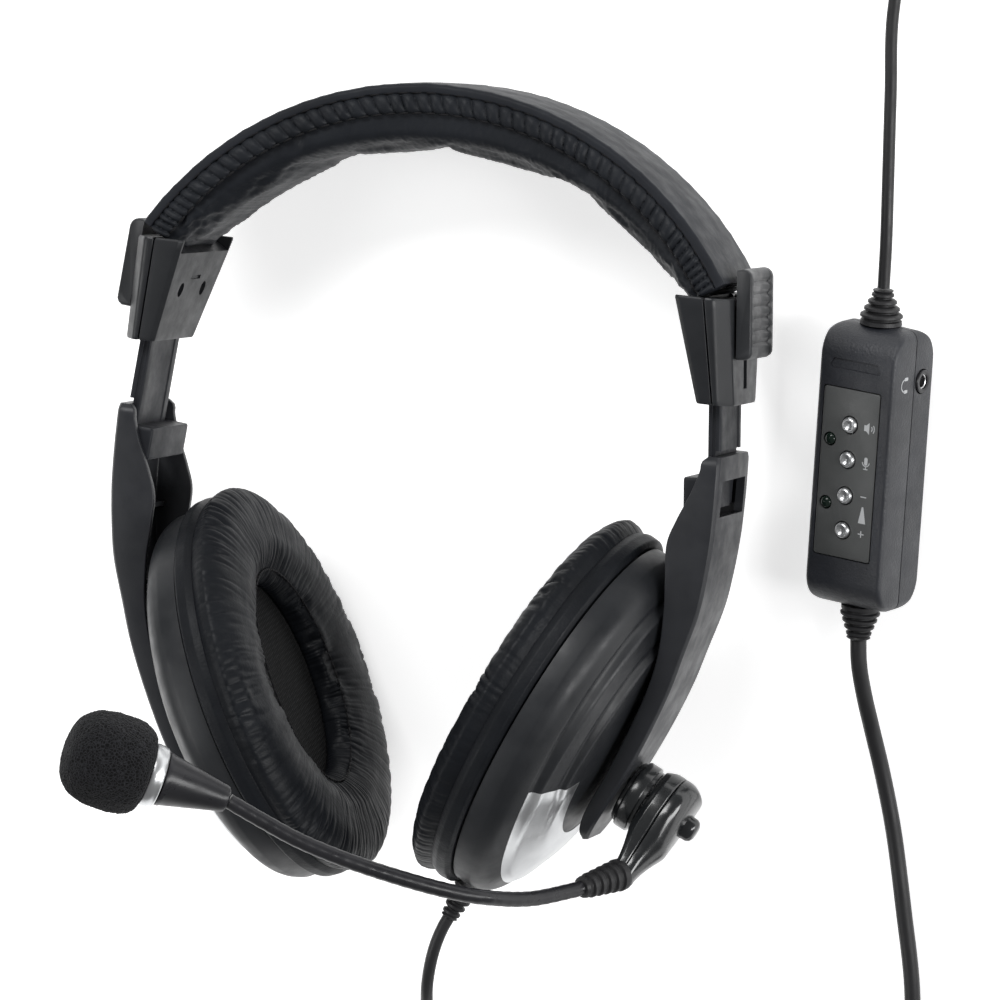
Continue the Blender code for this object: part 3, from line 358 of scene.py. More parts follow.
RUBBER = moulded("soft_black", (0.013, 0.013, 0.014), 0.48, grain=0.0003, depth=0.00002)
JACKET = moulded("jacket_black", (0.014, 0.014, 0.015), 0.42, grain=0.0004, depth=0.00002, wear_and_highlight=0.1)
SILVER = metal("silver_plating", (0.62, 0.63, 0.64), 0.34)
STEEL = metal("steel", (0.62, 0.62, 0.63), 0.3)
FOAM = foam("foam_black", (0.009, 0.0092, 0.0105))
CLOTH = cloth("ear_cloth", (0.010, 0.0105, 0.011), 0.0005)
REMOTE = sparked("remote_charcoal", (0.015, 0.0165, 0.021), 0.46, 0.0006, 0.00006)
PLATE = sparked("remote_plate_grey", (0.048, 0.050, 0.050), 0.42, 0.0004, 0.00002)
LENS = moulded("lens_dark", (0.006, 0.012, 0.009), 0.08, depth=0.000002)
PAINT = moulded("print_grey", (0.42, 0.43, 0.44), 0.6, wear_and_highlight=0.0)
BOARD = moulded("board_green", (0.01, 0.08, 0.03), 0.4)
DRIVER = moulded("driver_film", (0.02, 0.02, 0.02), 0.4)


# ------------------------------------------------------------------ mesh helpers
def outward(mesh, weld=0.0):
    """Merge points closer than weld metres, if it isn't nought, and turn every face outwards."""
    bm = bmesh.new()
    bm.from_mesh(mesh)
    if weld:
        bmesh.ops.remove_doubles(bm, verts=bm.verts, dist=weld)
    bmesh.ops.recalc_face_normals(bm, faces=bm.faces)
    bm.to_mesh(mesh)
    bm.free()
    return mesh


def from_points(name, points, faces):
    mesh = bpy.data.meshes.new(name)
    mesh.from_pydata([tuple(p) for p in points], [], faces)
    mesh.validate()
    return outward(mesh)


def around(count):
    """The angles of a full turn in equal steps."""
    return [2 * math.pi * k / count for k in range(count)]


def clamped(value):
    return min(1.0, max(0.0, value))


def eased(t):
    return t * t * (3 - 2 * t)


def bell(value, width):
    return math.exp(-(value / width) ** 2)


def cubic(a, b, c, d, t):
    """A Catmull-Rom curve's point a share t of the way from b to c."""
    return 0.5 * (2 * b + (c - a) * t + (2 * a - 5 * b + 4 * c - d) * t ** 2
                  + (3 * b - 3 * c + d - a) * t ** 3)


def loft(rings, closed_path=False):
    """A skin over rings of equally many points in millimetres, capped at the ends unless the path closes."""
    count, total = len(rings[0]), len(rings)
    points = [Vector(p) * MM for ring in rings for p in ring]
    faces = []
    for r in range(total if closed_path else total - 1):
        a, b = r * count, (r + 1) % total * count
        for i in range(count):
            j = (i + 1) % count
            faces.append((a + i, a + j, b + j, b + i))
    if not closed_path:
        faces.append(tuple(range(count)))
        faces.append(tuple((total - 1) * count + i for i in range(count)))
    return from_points("loft", points, faces)


def revolve(profile, steps=48, shape=None):
    """Turn a profile of (radius, height) points about Z. shape(angle, radius, height) may move a point."""
    points, faces, rings = [], [], []
    for radius, height in profile:
        if radius < 1e-6:
            rings.append([len(points)] * steps)
            points.append(Vector((0, 0, height)) * MM)
            continue
        ring = []
        for angle in around(steps):
            r, h = shape(angle, radius, height) if shape else (radius, height)
            ring.append(len(points))
            points.append(Vector((r * math.cos(angle), r * math.sin(angle), h)) * MM)
        rings.append(ring)
    for a, b in zip(rings, rings[1:]):
        for k in range(steps):
            j = (k + 1) % steps
            quad = [a[k], a[j], b[j], b[k]]
            face = [v for i, v in enumerate(quad) if v != quad[i - 1]]
            if len(face) > 2:
                faces.append(tuple(face))
    if profile[0] == profile[-1]:
        return outward(from_points("turned", points, faces), 1e-6)
    for ring in (rings[0], rings[-1]):
        if ring[0] != ring[1]:
            faces.append(tuple(ring))
    return from_points("turned", points, faces)


def fillet(outline, radii, steps=4):
    """Round the corners of a closed outline of (a, b) points. radii is one radius, or one for each corner."""
    out, total = [], len(outline)
    for i, corner in enumerate(outline):
        radius = radii[i] if isinstance(radii, (list, tuple)) else radii
        here = Vector(corner)
        back, ahead = Vector(outline[i - 1]) - here, Vector(outline[(i + 1) % total]) - here
        half = back.angle(ahead) / 2
        run = min(radius / math.tan(half), 0.46 * back.length, 0.46 * ahead.length)
        middle = here + (back.normalized() + ahead.normalized()).normalized() * run / math.cos(half)
        first, last = here + back.normalized() * run - middle, here + ahead.normalized() * run - middle
        turn = first.angle_signed(last)
        for k in range(steps + 1):
            spin = -turn * k / steps
            c, s = math.cos(spin), math.sin(spin)
            out.append((middle.x + c * first.x - s * first.y, middle.y + s * first.x + c * first.y))
    return out


def spline(points, count):
    """Evenly spaced points on a Catmull-Rom curve through the given ones, of any dimension."""
    p = np.array([tuple(q) for q in points], float)
    p = np.vstack([2 * p[0] - p[1], p, 2 * p[-1] - p[-2]])
    dense = []
    for a, b, c, d in zip(p, p[1:], p[2:], p[3:]):
        dense.append(cubic(a, b, c, d, np.linspace(0, 1, 24, endpoint=False)[:, None]))
    dense = np.vstack(dense + [p[-2:-1]])
    run = np.concatenate([[0], np.cumsum(np.linalg.norm(np.diff(dense, axis=0), axis=1))])
    at = np.linspace(0, run[-1], count)
    return np.stack([np.interp(at, run, dense[:, k]) for k in range(dense.shape[1])], axis=1)


def sweep(path, section):
    """Carry a section along a path in millimetres. section(i) gives (side, up) points at its i-th point."""
    path = [Vector(p) for p in path]
    rings, up = [], Vector((0, 0, 1))
    for i, at in enumerate(path):
        along = (path[min(i + 1, len(path) - 1)] - path[max(i - 1, 0)]).normalized()
        side = along.cross(up).normalized()
        up = side.cross(along).normalized()
        rings.append([at + side * a + up * b for a, b in section(i)])
    return loft(rings)


def circle(radius, count=12):
    return [(radius * math.cos(angle), radius * math.sin(angle)) for angle in around(count)]


def rectangle(half_a, half_b):
    return [(-half_a, -half_b), (half_a, -half_b), (half_a, half_b), (-half_a, half_b)]


def slab(outline, levels):
    """An upright body with the (x, y) outline, between two heights."""
    return loft([[(x, y, z) for x, y in outline] for z in levels])


def rod(radius, low, high, steps):
    return revolve([(0, low), (radius, low), (radius, high), (0, high)], steps)


def block(size):
    """A plain box in millimetres, for cutting or as the start of a bevelled piece."""
    bm = bmesh.new()
    bmesh.ops.create_cube(bm, size=1.0)
    bmesh.ops.scale(bm, vec=Vector(size) * MM, verts=bm.verts)
    mesh = bpy.data.meshes.new("block")
    bm.to_mesh(mesh)
    bm.free()
    return mesh


def flipped(mesh, side):
    """A mesh drawn for the +X side, mirrored if it belongs on the -X side."""
    if side < 0:
        mesh.transform(Matrix.Scale(-1, 4, (1, 0, 0)))
        mesh.flip_normals()
    return mesh


def joined(*meshes):
    bm = bmesh.new()
    for mesh in meshes:
        bm.from_mesh(mesh)
    out = bpy.data.meshes.new("joined")
    bm.to_mesh(out)
    bm.free()
    return out


def moved(mesh, x=0.0, y=0.0, z=0.0, turn=None):
    if turn:
        mesh.transform(rotation(*turn))
    mesh.transform(shift(x, y, z))
    return mesh


def piece(name, mesh, material, body, at, replaces=(), sharp=40, bevel=0.0, cuts=()):
    """A finished piece that rides on a body: bevelled, cut and smoothed, in place of the CAD nodes named."""
    mesh.transform(at)
    obj = in_scene(name, mesh)
    if bevel:
        made = obj.modifiers.new("edges", "BEVEL")
        made.width = bevel * MM
        made.segments = 3
        made.limit_method = "ANGLE"
        made.angle_limit = math.radians(30)
    for cutter in cuts:
        cutter.transform(at)
        made = obj.modifiers.new("cut", "BOOLEAN")
        made.solver = "EXACT"
        made.object = in_scene(name + "_cut", cutter)
    apply_modifiers(obj)
    for helper in [o for o in bpy.context.scene.objects if o.name.startswith(name + "_cut")]:
        bpy.data.objects.remove(helper)
    return dress(obj, material, body, replaces, sharp)


def apply_modifiers(obj):
    if obj.modifiers:
        bpy.context.view_layer.update()
        done = bpy.data.meshes.new_from_object(obj.evaluated_get(bpy.context.evaluated_depsgraph_get()))
        obj.modifiers.clear()
        obj.data = done


def dress(obj, material, body, replaces=(), sharp=40):
    if obj.type == "MESH":
        obj.data.shade_smooth()
        obj.data.set_sharp_from_angle(angle=math.radians(sharp))
    obj.data.materials.clear()
    obj.data.materials.append(material)
    if body:
        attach(obj, body)
    if replaces:
        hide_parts(*replaces)
    return obj


def repaint(material, *names):
    """Give CAD nodes that stay a better material."""
    for name in names:
        slots = frame["nodes"][name].data.materials
        slots.clear()
        slots.append(material)


# ------------------------------------------------------------------ leads
HEADSET_CORD_ROUTE = [
    (15.15, -99.3, 49.43), (13.6, -102.8, 49.95), (12.0, -108.3, 50.1), (10.6, -115.5, 48.4),
    (9.6, -122.5, 44.5), (8.6, -130.0, 36.8), (8.0, -138.0, 26.2), (8.0, -147.0, 15.0), (8.6, -157.0, 6.8),
    (10.2, -169.0, 2.6), (14.0, -182.0, 1.8), (21.0, -197.0, 1.8), (36.0, -208.5, 1.8), (60.0, -214.0, 1.8),
    (90.0, -215.0, 1.8), (119.0, -209.0, 1.8), (140.0, -192.0, 1.8), (150.0, -163.0, 1.8),
    (152.5, -130.0, 1.8), (151.5, -95.0, 1.8), (149.5, -55.0, 1.8), (147.5, -15.0, 1.8), (145.5, 25.0, 1.8),
    (143.5, 65.0, 1.8), (140.5, 100.0, 1.8), (135.5, 128.0, 1.8), (124.5, 145.0, 1.8), (110.5, 148.0, 1.9),
    (100.5, 138.0, 2.4), (98.2, 121.0, 4.2), (99.6, 102.0, 7.2), (101.0, 82.0, 9.8), (101.8, 68.0, 10.9),
    (102.0, 56.8, 11.0),
]
USB_CORD_ROUTE = [
    (102.0, -28.8, 11.0), (102.5, -35.0, 10.6), (103.9, -43.0, 8.6), (106.0, -52.5, 5.6),
    (108.8, -63.5, 3.3), (112.4, -78.0, 2.4), (116.2, -97.0, 2.4), (119.6, -116.0, 2.2),
    (120.6, -134.0, 2.1), (119.4, -150.0, 2.1),
]
USB_TAIL_ROUTE = [
    (93.0, -189.5, 9.0), (86.0, -190.8, 6.0), (78.0, -193.3, 3.6), (70.0, -197.0, 2.6), (62.0, -200.8, 2.6),
    (55.5, -201.8, 3.2), (49.5, -200.4, 4.0), (45.4, -196.6, 4.6), (44.0, -191.8, 4.8),
]
COIL_CENTRE = Vector((92.0, -160.0, 0.0))
COIL_RADIUS = 22.0
CORD_PITCH = 4.12
# Where each turn of the coil lies, as (outward, upward) steps of one pitch, each next to the one before
COIL_CELLS = [(1, 0), (0, 0), (-1, 0), (-1, 1), (-1, 2), (0, 2), (0, 1), (1, 1), (1, 2)]


def coil_route(turns):
    """Points on the coil, clockwise from its right-hand side, each turn beside or on the one before."""
    step, count = math.radians(38), round(turns * 20)
    points = []
    for k in range(count + 1):
        angle = 2 * math.pi * k / 20
        out, up = COIL_CELLS[0]
        for n, cell in enumerate(COIL_CELLS[1:]):
            begin = 2 * math.pi * (n + 1) - (n + 1) * step
            share = eased(clamped((angle - begin) / step))
            out += (cell[0] - out) * share
            up += (cell[1] - up) * share
        radius = COIL_RADIUS + out * CORD_PITCH
        height = 2.1 + up * CORD_PITCH
        points.append(COIL_CENTRE + Vector((radius * math.cos(angle), -radius * math.sin(angle), height)))
    return points


def cord_curve(name, points, radius):
    curve = bpy.data.curves.new(name, "CURVE")
    curve.dimensions = "3D"
    curve.bevel_depth = radius * MM
    curve.bevel_resolution = 4
    curve.use_fill_caps = True
    line = curve.splines.new("POLY")
    line.points.add(len(points) - 1)
    for point, at in zip(line.points, points):
        point.co = (*(TABLE @ (Vector(at) * MM)), 1.0)
    return in_scene(name, curve)


def build_leads():
    line = spline(HEADSET_CORD_ROUTE, 320)
    tube = sweep(line, lambda i: circle(1.5))
    thin = piece("headset_lead", tube, JACKET, None, TABLE, ["headset_cord"])
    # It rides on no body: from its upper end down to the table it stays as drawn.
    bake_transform(thin)
    route = list(spline(USB_CORD_ROUTE, 40))[:-1] + coil_route(9.14) + USB_TAIL_ROUTE
    thick = cord_curve("usb_lead", spline(route, 620), 2.0)
    dress(thick, JACKET, "headband", ["usb_cord", "cord_coil", "usb_tail"])


# ------------------------------------------------------------------ soft pieces
def refined(grid, rows, columns, closed_rows):
    """A closed-column grid of points, interpolated smoothly to a finer one."""
    def one_way(points, count, closed):
        total = len(points)
        at = np.linspace(0, total if closed else total - 1, count, endpoint=not closed)
        low = np.minimum(np.floor(at).astype(int), total - 1 if closed else total - 2)
        t = (at - low).reshape(-1, *([1] * (points.ndim - 1)))
        pick = (lambda i: points[i % total]) if closed else (lambda i: points[np.clip(i, 0, total - 1)])
        return cubic(pick(low - 1), pick(low), pick(low + 1), pick(low + 2), t)
    wide = one_way(grid, rows, closed_rows)
    return one_way(wide.swapaxes(0, 1), columns, True).swapaxes(0, 1)


def grid_normals(grid, closed_rows):
    across = np.roll(grid, -1, 1) - np.roll(grid, 1, 1)
    along = np.roll(grid, -1, 0) - np.roll(grid, 1, 0) if closed_rows else np.gradient(grid, axis=0)
    normals = np.cross(along, across)
    return normals / np.maximum(np.linalg.norm(normals, axis=2, keepdims=True), 1e-9)


def pushed(grid, push, closed_rows):
    """The grid with each point moved outwards by its push."""
    normals = grid_normals(grid, closed_rows)
    inside = np.sign(np.sum(normals * (grid - grid.mean(axis=1, keepdims=True)), axis=2).mean())
    return grid + normals * (push * inside)[:, :, None]


def grid_mesh(grid, closed_rows):
    return loft([[tuple(p) for p in row] for row in grid], closed_rows)


MOST_INFLATION = 0.9


def inflated(grid, closed_rows, pinned, pressure):
    """Fill a coarse skin with air in a short cloth simulation; pinned(row, column) holds the seams.
    No point may move further than MOST_INFLATION."""
    rows, columns = grid.shape[:2]
    obj = in_scene("skin", grid_mesh(grid, closed_rows))
    group = obj.vertex_groups.new(name="seams")
    group.add([r * columns + c for r in range(rows) for c in range(columns) if pinned(r, c)], 1.0, "REPLACE")
    made = obj.modifiers.new("cloth", "CLOTH")
    settings = made.settings
    settings.quality = 6
    settings.mass = 0.12
    settings.tension_stiffness = settings.compression_stiffness = 12
    settings.shear_stiffness = 6
    settings.bending_stiffness = 0.3
    settings.shrink_min = -0.02
    settings.use_pressure = True
    settings.uniform_pressure_force = pressure
    settings.vertex_group_mass = "seams"
    settings.effector_weights.gravity = 0.0
    last = 20
    made.point_cache.frame_start, made.point_cache.frame_end = 1, last
    for number in range(1, last + 1):
        bpy.context.scene.frame_set(number)
    done = obj.evaluated_get(bpy.context.evaluated_depsgraph_get()).to_mesh()
    after = np.empty(len(done.vertices) * 3)
    done.vertices.foreach_get("co", after)
    bpy.context.scene.frame_set(1)
    bpy.data.objects.remove(obj)
    move = after.reshape(-1, 3)[:rows * columns].reshape(rows, columns, 3) / MM - grid
    far = np.linalg.norm(move, axis=2, keepdims=True)
    return grid + move * np.minimum(1.0, MOST_INFLATION / np.maximum(far, 1e-9))


def folds(u, sharp=0.55):
    """Rounded folds one unit apart with narrow valleys, from 0 in a valley to 1 on a fold."""
    return abs(math.sin(math.pi * u)) ** sharp


def noise3(x, y, z=0.0):
    return noise.noise(Vector((x, y, z)))


def valley(value, width):
    """1 where value crosses nought, falling to 0 a width away: thin wandering creases out of smooth noise."""
    return max(0.0, 1 - abs(value) / width) ** 1.5


def capsules(points, directions, length, radius):
    """Short rounded threads at the given places, as one mesh."""
    meshes = []
    for at, way in zip(points, directions):
        profile = [(0, -length / 2), (radius * 0.8, -length / 2 + radius * 0.4), (radius, 0),
                   (radius * 0.8, length / 2 - radius * 0.4), (0, length / 2)]
        mesh = revolve(profile, 8)
        mesh.transform(shift(*at) @ pointing(Vector(way)))
        meshes.append(mesh)
    return joined(*meshes)


# ------------------------------------------------------------------ headband
def band_point(radius, y, angle):
    return (radius * math.sin(angle), y, BAND_AXIS_Z + radius * math.cos(angle))


def liner_thickness(angle):
    return 7.4 + 5.4 * max(0.0, math.cos(angle / BAND_HALF_ANGLE * math.pi / 2)) ** 0.8


def build_band():
    angles = np.linspace(-BAND_HALF_ANGLE, BAND_HALF_ANGLE, 301)
    half = COVER_HALF_WIDTH
    outline = fillet([(COVER_INNER, -half), (COVER_OUTER, -half), (COVER_OUTER + 0.2, 0), (COVER_OUTER, half),
                      (COVER_INNER, half)], [0.5, 1.3, 60, 1.3, 0.5], 5)
    rings = []
    for angle in angles:
        ring = []
        for r, y in outline:
            wave = 0.10 * noise3(angle * 9, y * 0.12) + 0.05 * noise3(angle * 34, y * 0.4, 5)
            edge = 0.12 * folds(angle * 84 / 5.2 + 0.4 * noise3(angle * 11, 3), 0.8) if abs(y) > 16.8 else 0.0
            ring.append(band_point(r + wave - edge, y, angle))
        rings.append(ring)
    piece("headband_skin", loft(rings), BAND_SKIN, "headband", HEAD, ["headband_cover"],
          sharp=70)
    for tag, way in (("front", -1), ("back", 1)):
        build_roll(tag, way)
    build_liner()
    repaint(STEEL, "headband_spring", "pivot_pin_left", "pivot_pin_right", "mic_capsule")


def fold_phase(run, lean):
    """Where a point is among the roll's gathers: evenly spaced in the middle, crowded at the ends."""
    ends = max(0.0, abs(run) - 64.0)
    crowded = run + math.copysign(ends * ends * 0.035, run)
    return crowded / STITCH_PITCH + lean + 0.22 * noise3(run * 0.21, 1.7)


def build_roll(tag, way):
    rings = []
    count = 700
    for i in range(count + 1):
        angle = -BAND_HALF_ANGLE + 2 * BAND_HALF_ANGLE * i / count
        run = angle * STITCH_RADIUS
        crumple = clamped((abs(run) - 60) / 16)
        ring = []
        for k in range(19):
            turn = math.pi * k / 18
            height = math.cos(turn)
            phase = fold_phase(run, -0.24 * height * way)
            fold = folds(phase, 0.5)
            deep = 1.0 + 0.4 * noise3(math.floor(phase) * 3.3, 0.4)
            small = 0.09 * noise3(run * 0.9, height * 1.6, 4)
            small += 0.35 * crumple * noise3(run * 0.5, height * 1.2, 9)
            puff = 2.0 - 1.05 * deep * (1 - fold) + small
            pinch = 0.35 * (1 - fold) * abs(height)
            y = way * (ROLL_Y + puff * math.sin(turn) ** 0.7)
            ring.append(band_point(ROLL_RADIUS + (2.45 - pinch) * height, y, angle))
        ring += [band_point(76.9, way * 15.0, angle), band_point(81.2, way * 15.0, angle)]
        rings.append(ring)
    piece(f"band_roll_{tag}", loft(rings), ROLL_SKIN, "headband", HEAD, sharp=75)
    for label, radius, depth in (("upper", 81.5, 18.05), ("lower", 76.7, 17.75)):
        points, ways = [], []
        for n in range(-24, 25):
            angle = (n * STITCH_PITCH) / STITCH_RADIUS
            if abs(angle) < BAND_HALF_ANGLE - 0.02:
                points.append(band_point(radius, way * depth, angle))
                ways.append((math.cos(angle), 0.06 * way, -math.sin(angle)))
        threads = capsules(points, ways, 2.5, 0.33)
        piece(f"stitches_{tag}_{label}", threads, THREAD, "headband", HEAD, sharp=60)


def build_liner():
    """Padded lining under the band: simulated full, then given its fine creases."""
    rows, columns = 60, 32
    grid = np.zeros((rows, columns, 3))
    for i, angle in enumerate(np.linspace(-BAND_HALF_ANGLE, BAND_HALF_ANGLE, rows)):
        low = LINER_TOP - liner_thickness(angle)
        middle, half = (LINER_TOP + low) / 2, (LINER_TOP - low) / 2
        for k, turn in enumerate(around(columns)):
            c, s = math.cos(turn), math.sin(turn)
            r = middle + half * math.copysign(abs(c) ** 0.62, c)
            y = 17.3 * math.copysign(abs(s) ** 0.5, s) * (1 - 0.06 * (1 - c) / 2)
            grid[i, k] = band_point(r, y, angle)
    grid = inflated(grid, False, lambda r, c: r < 2 or r > rows - 3 or c < 6 or c > columns - 6, 3.0)
    fine_rows, fine_columns = 420, 120
    fine = refined(grid, fine_rows, fine_columns, False)
    push = np.zeros((fine_rows, fine_columns))
    for i in range(fine_rows):
        reach = BAND_HALF_ANGLE * LINER_RUN_RADIUS
        run = -reach + 2 * BAND_HALF_ANGLE * LINER_RUN_RADIUS * i / (fine_rows - 1)
        crumple = clamped((abs(run) - 52) / 20)
        for k, turn in enumerate(around(fine_columns)):
            inner = max(0.0, -math.cos(turn))
            crossing = noise3(run * 0.75 + 3 * math.cos(turn), math.sin(turn) * 2.2, 2)
            crossing += 0.6 * noise3(run * 1.6, math.sin(turn) * 5, 7)
            creased = 1 - abs(crossing) ** 0.7
            push[i, k] = 0.32 * inner ** 0.5 * (0.5 - creased) + 0.08 * noise3(run * 0.12, turn * 2)
            push[i, k] += crumple * 0.5 * noise3(run * 0.45, turn * 3, 11)
    mesh = grid_mesh(pushed(fine, push, False), False)
    liner = piece("band_liner", mesh, LINER_SKIN, "headband", HEAD, ["headband_pad"], sharp=80)


build_band()


# ------------------------------------------------------------------ ear cups
def cup_oval(angle, out=0.0):
    """A point beside the cup's oval rim, and the outward direction there, across and along the cup."""
    at = Vector((CUP_SHORT * math.sin(angle), CUP_LONG * math.cos(angle)))
    way = Vector((CUP_LONG * math.sin(angle), CUP_SHORT * math.cos(angle))).normalized()
    return at + way * out, way


def around_cup(section, stations):
    """A closed band round the cup. section(angle) gives (outward, along the cup's axis) points."""
    rings = []
    for angle in around(stations):
        ring = []
        for out, c in section(angle):
            at, _ = cup_oval(angle, out)
            ring.append((c, at.x, at.y))
        rings.append(ring)
    return rings


def build_pad(side, tag, axes):
    rows, columns = 96, 24
    corners = [(0.2, -4.3), (1.5, -6.2), (1.5, -8.8), (-0.6, -11.4), (-4.8, -13.2), (-10.0, -13.7),
               (-15.6, -12.6), (-20.0, -9.9), (-21.8, -7.0), (-21.0, -5.2), (-16.0, -4.8), (-8.0, -4.5),
               (-2.0, -4.4), (0.2, -4.3)]
    section = spline(corners, columns + 1)[:-1]
    grid = np.array(around_cup(lambda angle: section, rows))
    grid = inflated(grid, True, lambda r, c: c < 2 or c > 14, 3.0)
    count, fine_columns = 720, 96
    fine = refined(grid, count, fine_columns, True)
    seed = 3.0 if side > 0 else 40.0
    push = np.zeros((count, fine_columns))
    for i, angle in enumerate(around(count)):
        x, y = math.cos(angle), math.sin(angle)
        for k in range(fine_columns):
            t = k / fine_columns
            bend = 0.8 * noise3(x * 2.6 + seed, y * 2.6, t * 4)
            bend += 1.4 * noise3(x * 1.1, y * 1.1 + seed, t * 1.5)
            seam, inner, tuck = bell(t - 0.15, 0.075), bell(t - 0.50, 0.13), bell(t - 0.075, 0.012)
            gather = folds(angle * 62 / (2 * math.pi) + bend, 0.6) - 0.7
            pleat = folds(angle * 78 / (2 * math.pi) + 1.3 * bend + 0.5, 0.6) - 0.7
            patch = 0.45 + 0.9 * max(0.0, 0.5 + noise3(x * 3 + seed, y * 3, t * 3 + 8))
            wide = valley(noise3(x * 11 + 0.4 * bend, y * 11 + seed, t * 3), 0.22)
            streak = valley(noise3(x * 24 + 0.3 * bend, y * 24 + seed, t * 2.2), 0.3)
            reach = bell(t - 0.16, 0.12) + 0.8 * inner
            push[i, k] = patch * (0.22 * seam * gather - 0.4 * seam * wide + 0.2 * inner * pleat
                                  - 0.34 * reach * streak)
            push[i, k] += 0.08 * noise3(x * 5, y * 5, t * 6) - 0.22 * tuck
    push *= (np.arange(fine_columns) < 0.66 * fine_columns)[None, :]
    mesh = grid_mesh(pushed(fine, push, True), True)
    pad = piece(f"ear_cushion_{tag}", mesh, PAD_SKIN, f"cup_{tag}", axes, [f"ear_pad_{tag}"],
                sharp=85)
    points, ways = [], []
    for angle in around(PAD_STITCHES):
        at, way = cup_oval(angle, -PAD_STITCH_INSET)
        points.append((PAD_STITCH_DEPTH, at.x, at.y))
        ways.append((0, way.y, -way.x))
    piece(f"ear_stitches_{tag}", capsules(points, ways, 2.0, 0.28), THREAD, f"cup_{tag}", axes, sharp=60)


# Height of the shell over a share of the way out from its middle to its rim
DOME_CURVE = spline([(1.0, 5.4), (0.955, 8.4), (0.86, 11.1), (0.76, 13.1), (0.66, 14.9), (0.55, 16.0),
                     (0.3, 17.2), (0.0, 17.6)], 60)
LEDGES = ((0.84, 1.6, 0.012), (0.66, 1.3, 0.012))


def shell_height(share, angle):
    """The dome, with stepped ledges on its front side."""
    height = float(np.interp(share, DOME_CURVE[::-1, 0], DOME_CURVE[::-1, 1]))
    front = max(0.0, math.cos(angle + math.radians(62))) ** 1.5
    for ledge, size, wide in LEDGES:
        step = 1 / (1 + math.exp(max(-40.0, min(40.0, (share - ledge) / wide * 3.2))))
        fade = math.exp(-max(0.0, ledge - share) / 0.12)
        height += front * size * (step * fade - 0.3 * bell(share - ledge - 0.025, 0.016))
    return height


def build_cup_shell(side, tag, axes):
    rows = [(1.0, -0.12, 0.35), (1.0, 0.0, 4.6), (0.995, 0.0, 5.3)]
    rows += [(share, 0.0, None) for share in np.linspace(0.985, 0.05, 110)]
    rings = []
    for share, out, height in rows:
        ring = []
        for angle in around(144):
            c = height if height else shell_height(share, angle)
            at, _ = cup_oval(angle, out)
            ring.append((c, at.x * share, at.y * share))
        rings.append(ring)
    body = f"cup_{tag}"
    piece(f"cup_cover_{tag}", loft(rings), SHELL, body, axes, [f"cup_shell_{tag}"], sharp=50)
    outline = fillet([(-3.0, -4.6), (1.0, -5.3), (1.75, -3.4), (1.6, -0.9), (0.5, -0.1), (-3.0, -0.1)],
                     [0.2, 0.4, 1.4, 0.8, 0.3, 0.2], 5)

    def skirt(angle):
        slack = 0.07 * noise3(math.cos(angle) * 7, math.sin(angle) * 7, side)
        return [(out + slack, c) for out, c in outline]
    piece(f"cup_band_{tag}", loft(around_cup(skirt, 200), True), PAD_SKIN, body, axes, sharp=60)
    baffle = []
    for share, c in ((1.0, -1.9), (1.0, -3.9), (0.72, -4.0), (0.70, -3.7), (0.62, -3.7)):
        baffle.append([(c, (CUP_SHORT - 2.5) * share * math.sin(angle),
                        (CUP_LONG - 2.5) * share * math.cos(angle)) for angle in around(96)])
    piece(f"cup_baffle_{tag}", loft(baffle), RING, body, axes, [f"cup_ring_{tag}"], sharp=40)
    build_trim(tag, axes)
    weave = []
    for share, c in ((1.0, -4.5), (0.985, -4.95), (0.8, -5.0), (0.5, -5.05), (0.1, -5.08)):
        slack = [0.12 * noise3(math.sin(k / 15.3) * 3, math.cos(k / 15.3) * 3, share * 5) for k in range(96)]
        weave.append([(c + loose, 20.2 * share * math.sin(angle), 27.6 * share * math.cos(angle))
                      for loose, angle in zip(slack, around(96))])
    piece(f"ear_weave_{tag}", loft(weave), CLOTH, body, axes, [f"ear_cloth_{tag}"], sharp=60)
    repaint(DRIVER, f"driver_{tag}")
    repaint(SHELL, f"pivot_lug_{tag}")


def build_trim(tag, axes):
    """Silver plate let into the shell's lower end, with a bevelled edge."""
    rings, steps = [], 64
    for i in range(steps + 1):
        angle = math.radians(180 - TRIM_HALF_TURN + 2 * TRIM_HALF_TURN * i / steps)
        lift = 0.1 + 0.45 * min(1.0, min(i, steps - i) / 2)
        low, high = [], []
        shares = np.linspace(0.885, 0.50, 22)
        for n, share in enumerate(shares):
            rim = min(n, len(shares) - 1 - n)
            c = shell_height(share, angle)
            at, _ = cup_oval(angle)
            low.append((c - 0.3, at.x * share, at.y * share))
            high.append((c + min(lift, 0.12 + 0.22 * rim), at.x * share, at.y * share))
        rings.append(low + high[::-1])
    piece(f"cup_plate_{tag}", loft(rings), SILVER, f"cup_{tag}", axes, [f"cup_trim_{tag}"],
          sharp=50)


for TAG, SIDE in SIDES:
    build_pad(SIDE, TAG, cup_axes(SIDE))
    build_cup_shell(SIDE, TAG, cup_axes(SIDE))


# ------------------------------------------------------------------ sliders
def housing_outline(t, outer):
    """Outline of a housing half at share t of its height, as (x, y) from the mouth's middle."""
    front, lean = 16.0 + 5.0 * t, math.sin(SLIDE_LEAN) * HOUSING_HEIGHT * t
    parting = -lean + 0.4 - 1.2 * t
    if outer:
        skin, near = parting + 4.4 + 1.0 * t, parting + 0.15
        points = [(near, -front), (near, front), (skin - 3, front), (skin, front - 4.5), (skin, -front + 4.5),
                  (skin - 3, -front)]
        radii = [0.25, 0.25, 1.6, 2.2, 2.2, 1.6]
    else:
        skin, near = parting - 3.9 - 3.2 * t, parting - 0.15
        points = [(near, front), (near, -front), (skin + 1.0, -front), (skin, -front + 1.0),
                  (skin, front - 1.0), (skin + 1.0, front)]
        radii = [0.25, 0.25, 0.6, 0.5, 0.5, 0.6]
    return fillet(points, radii, 5)


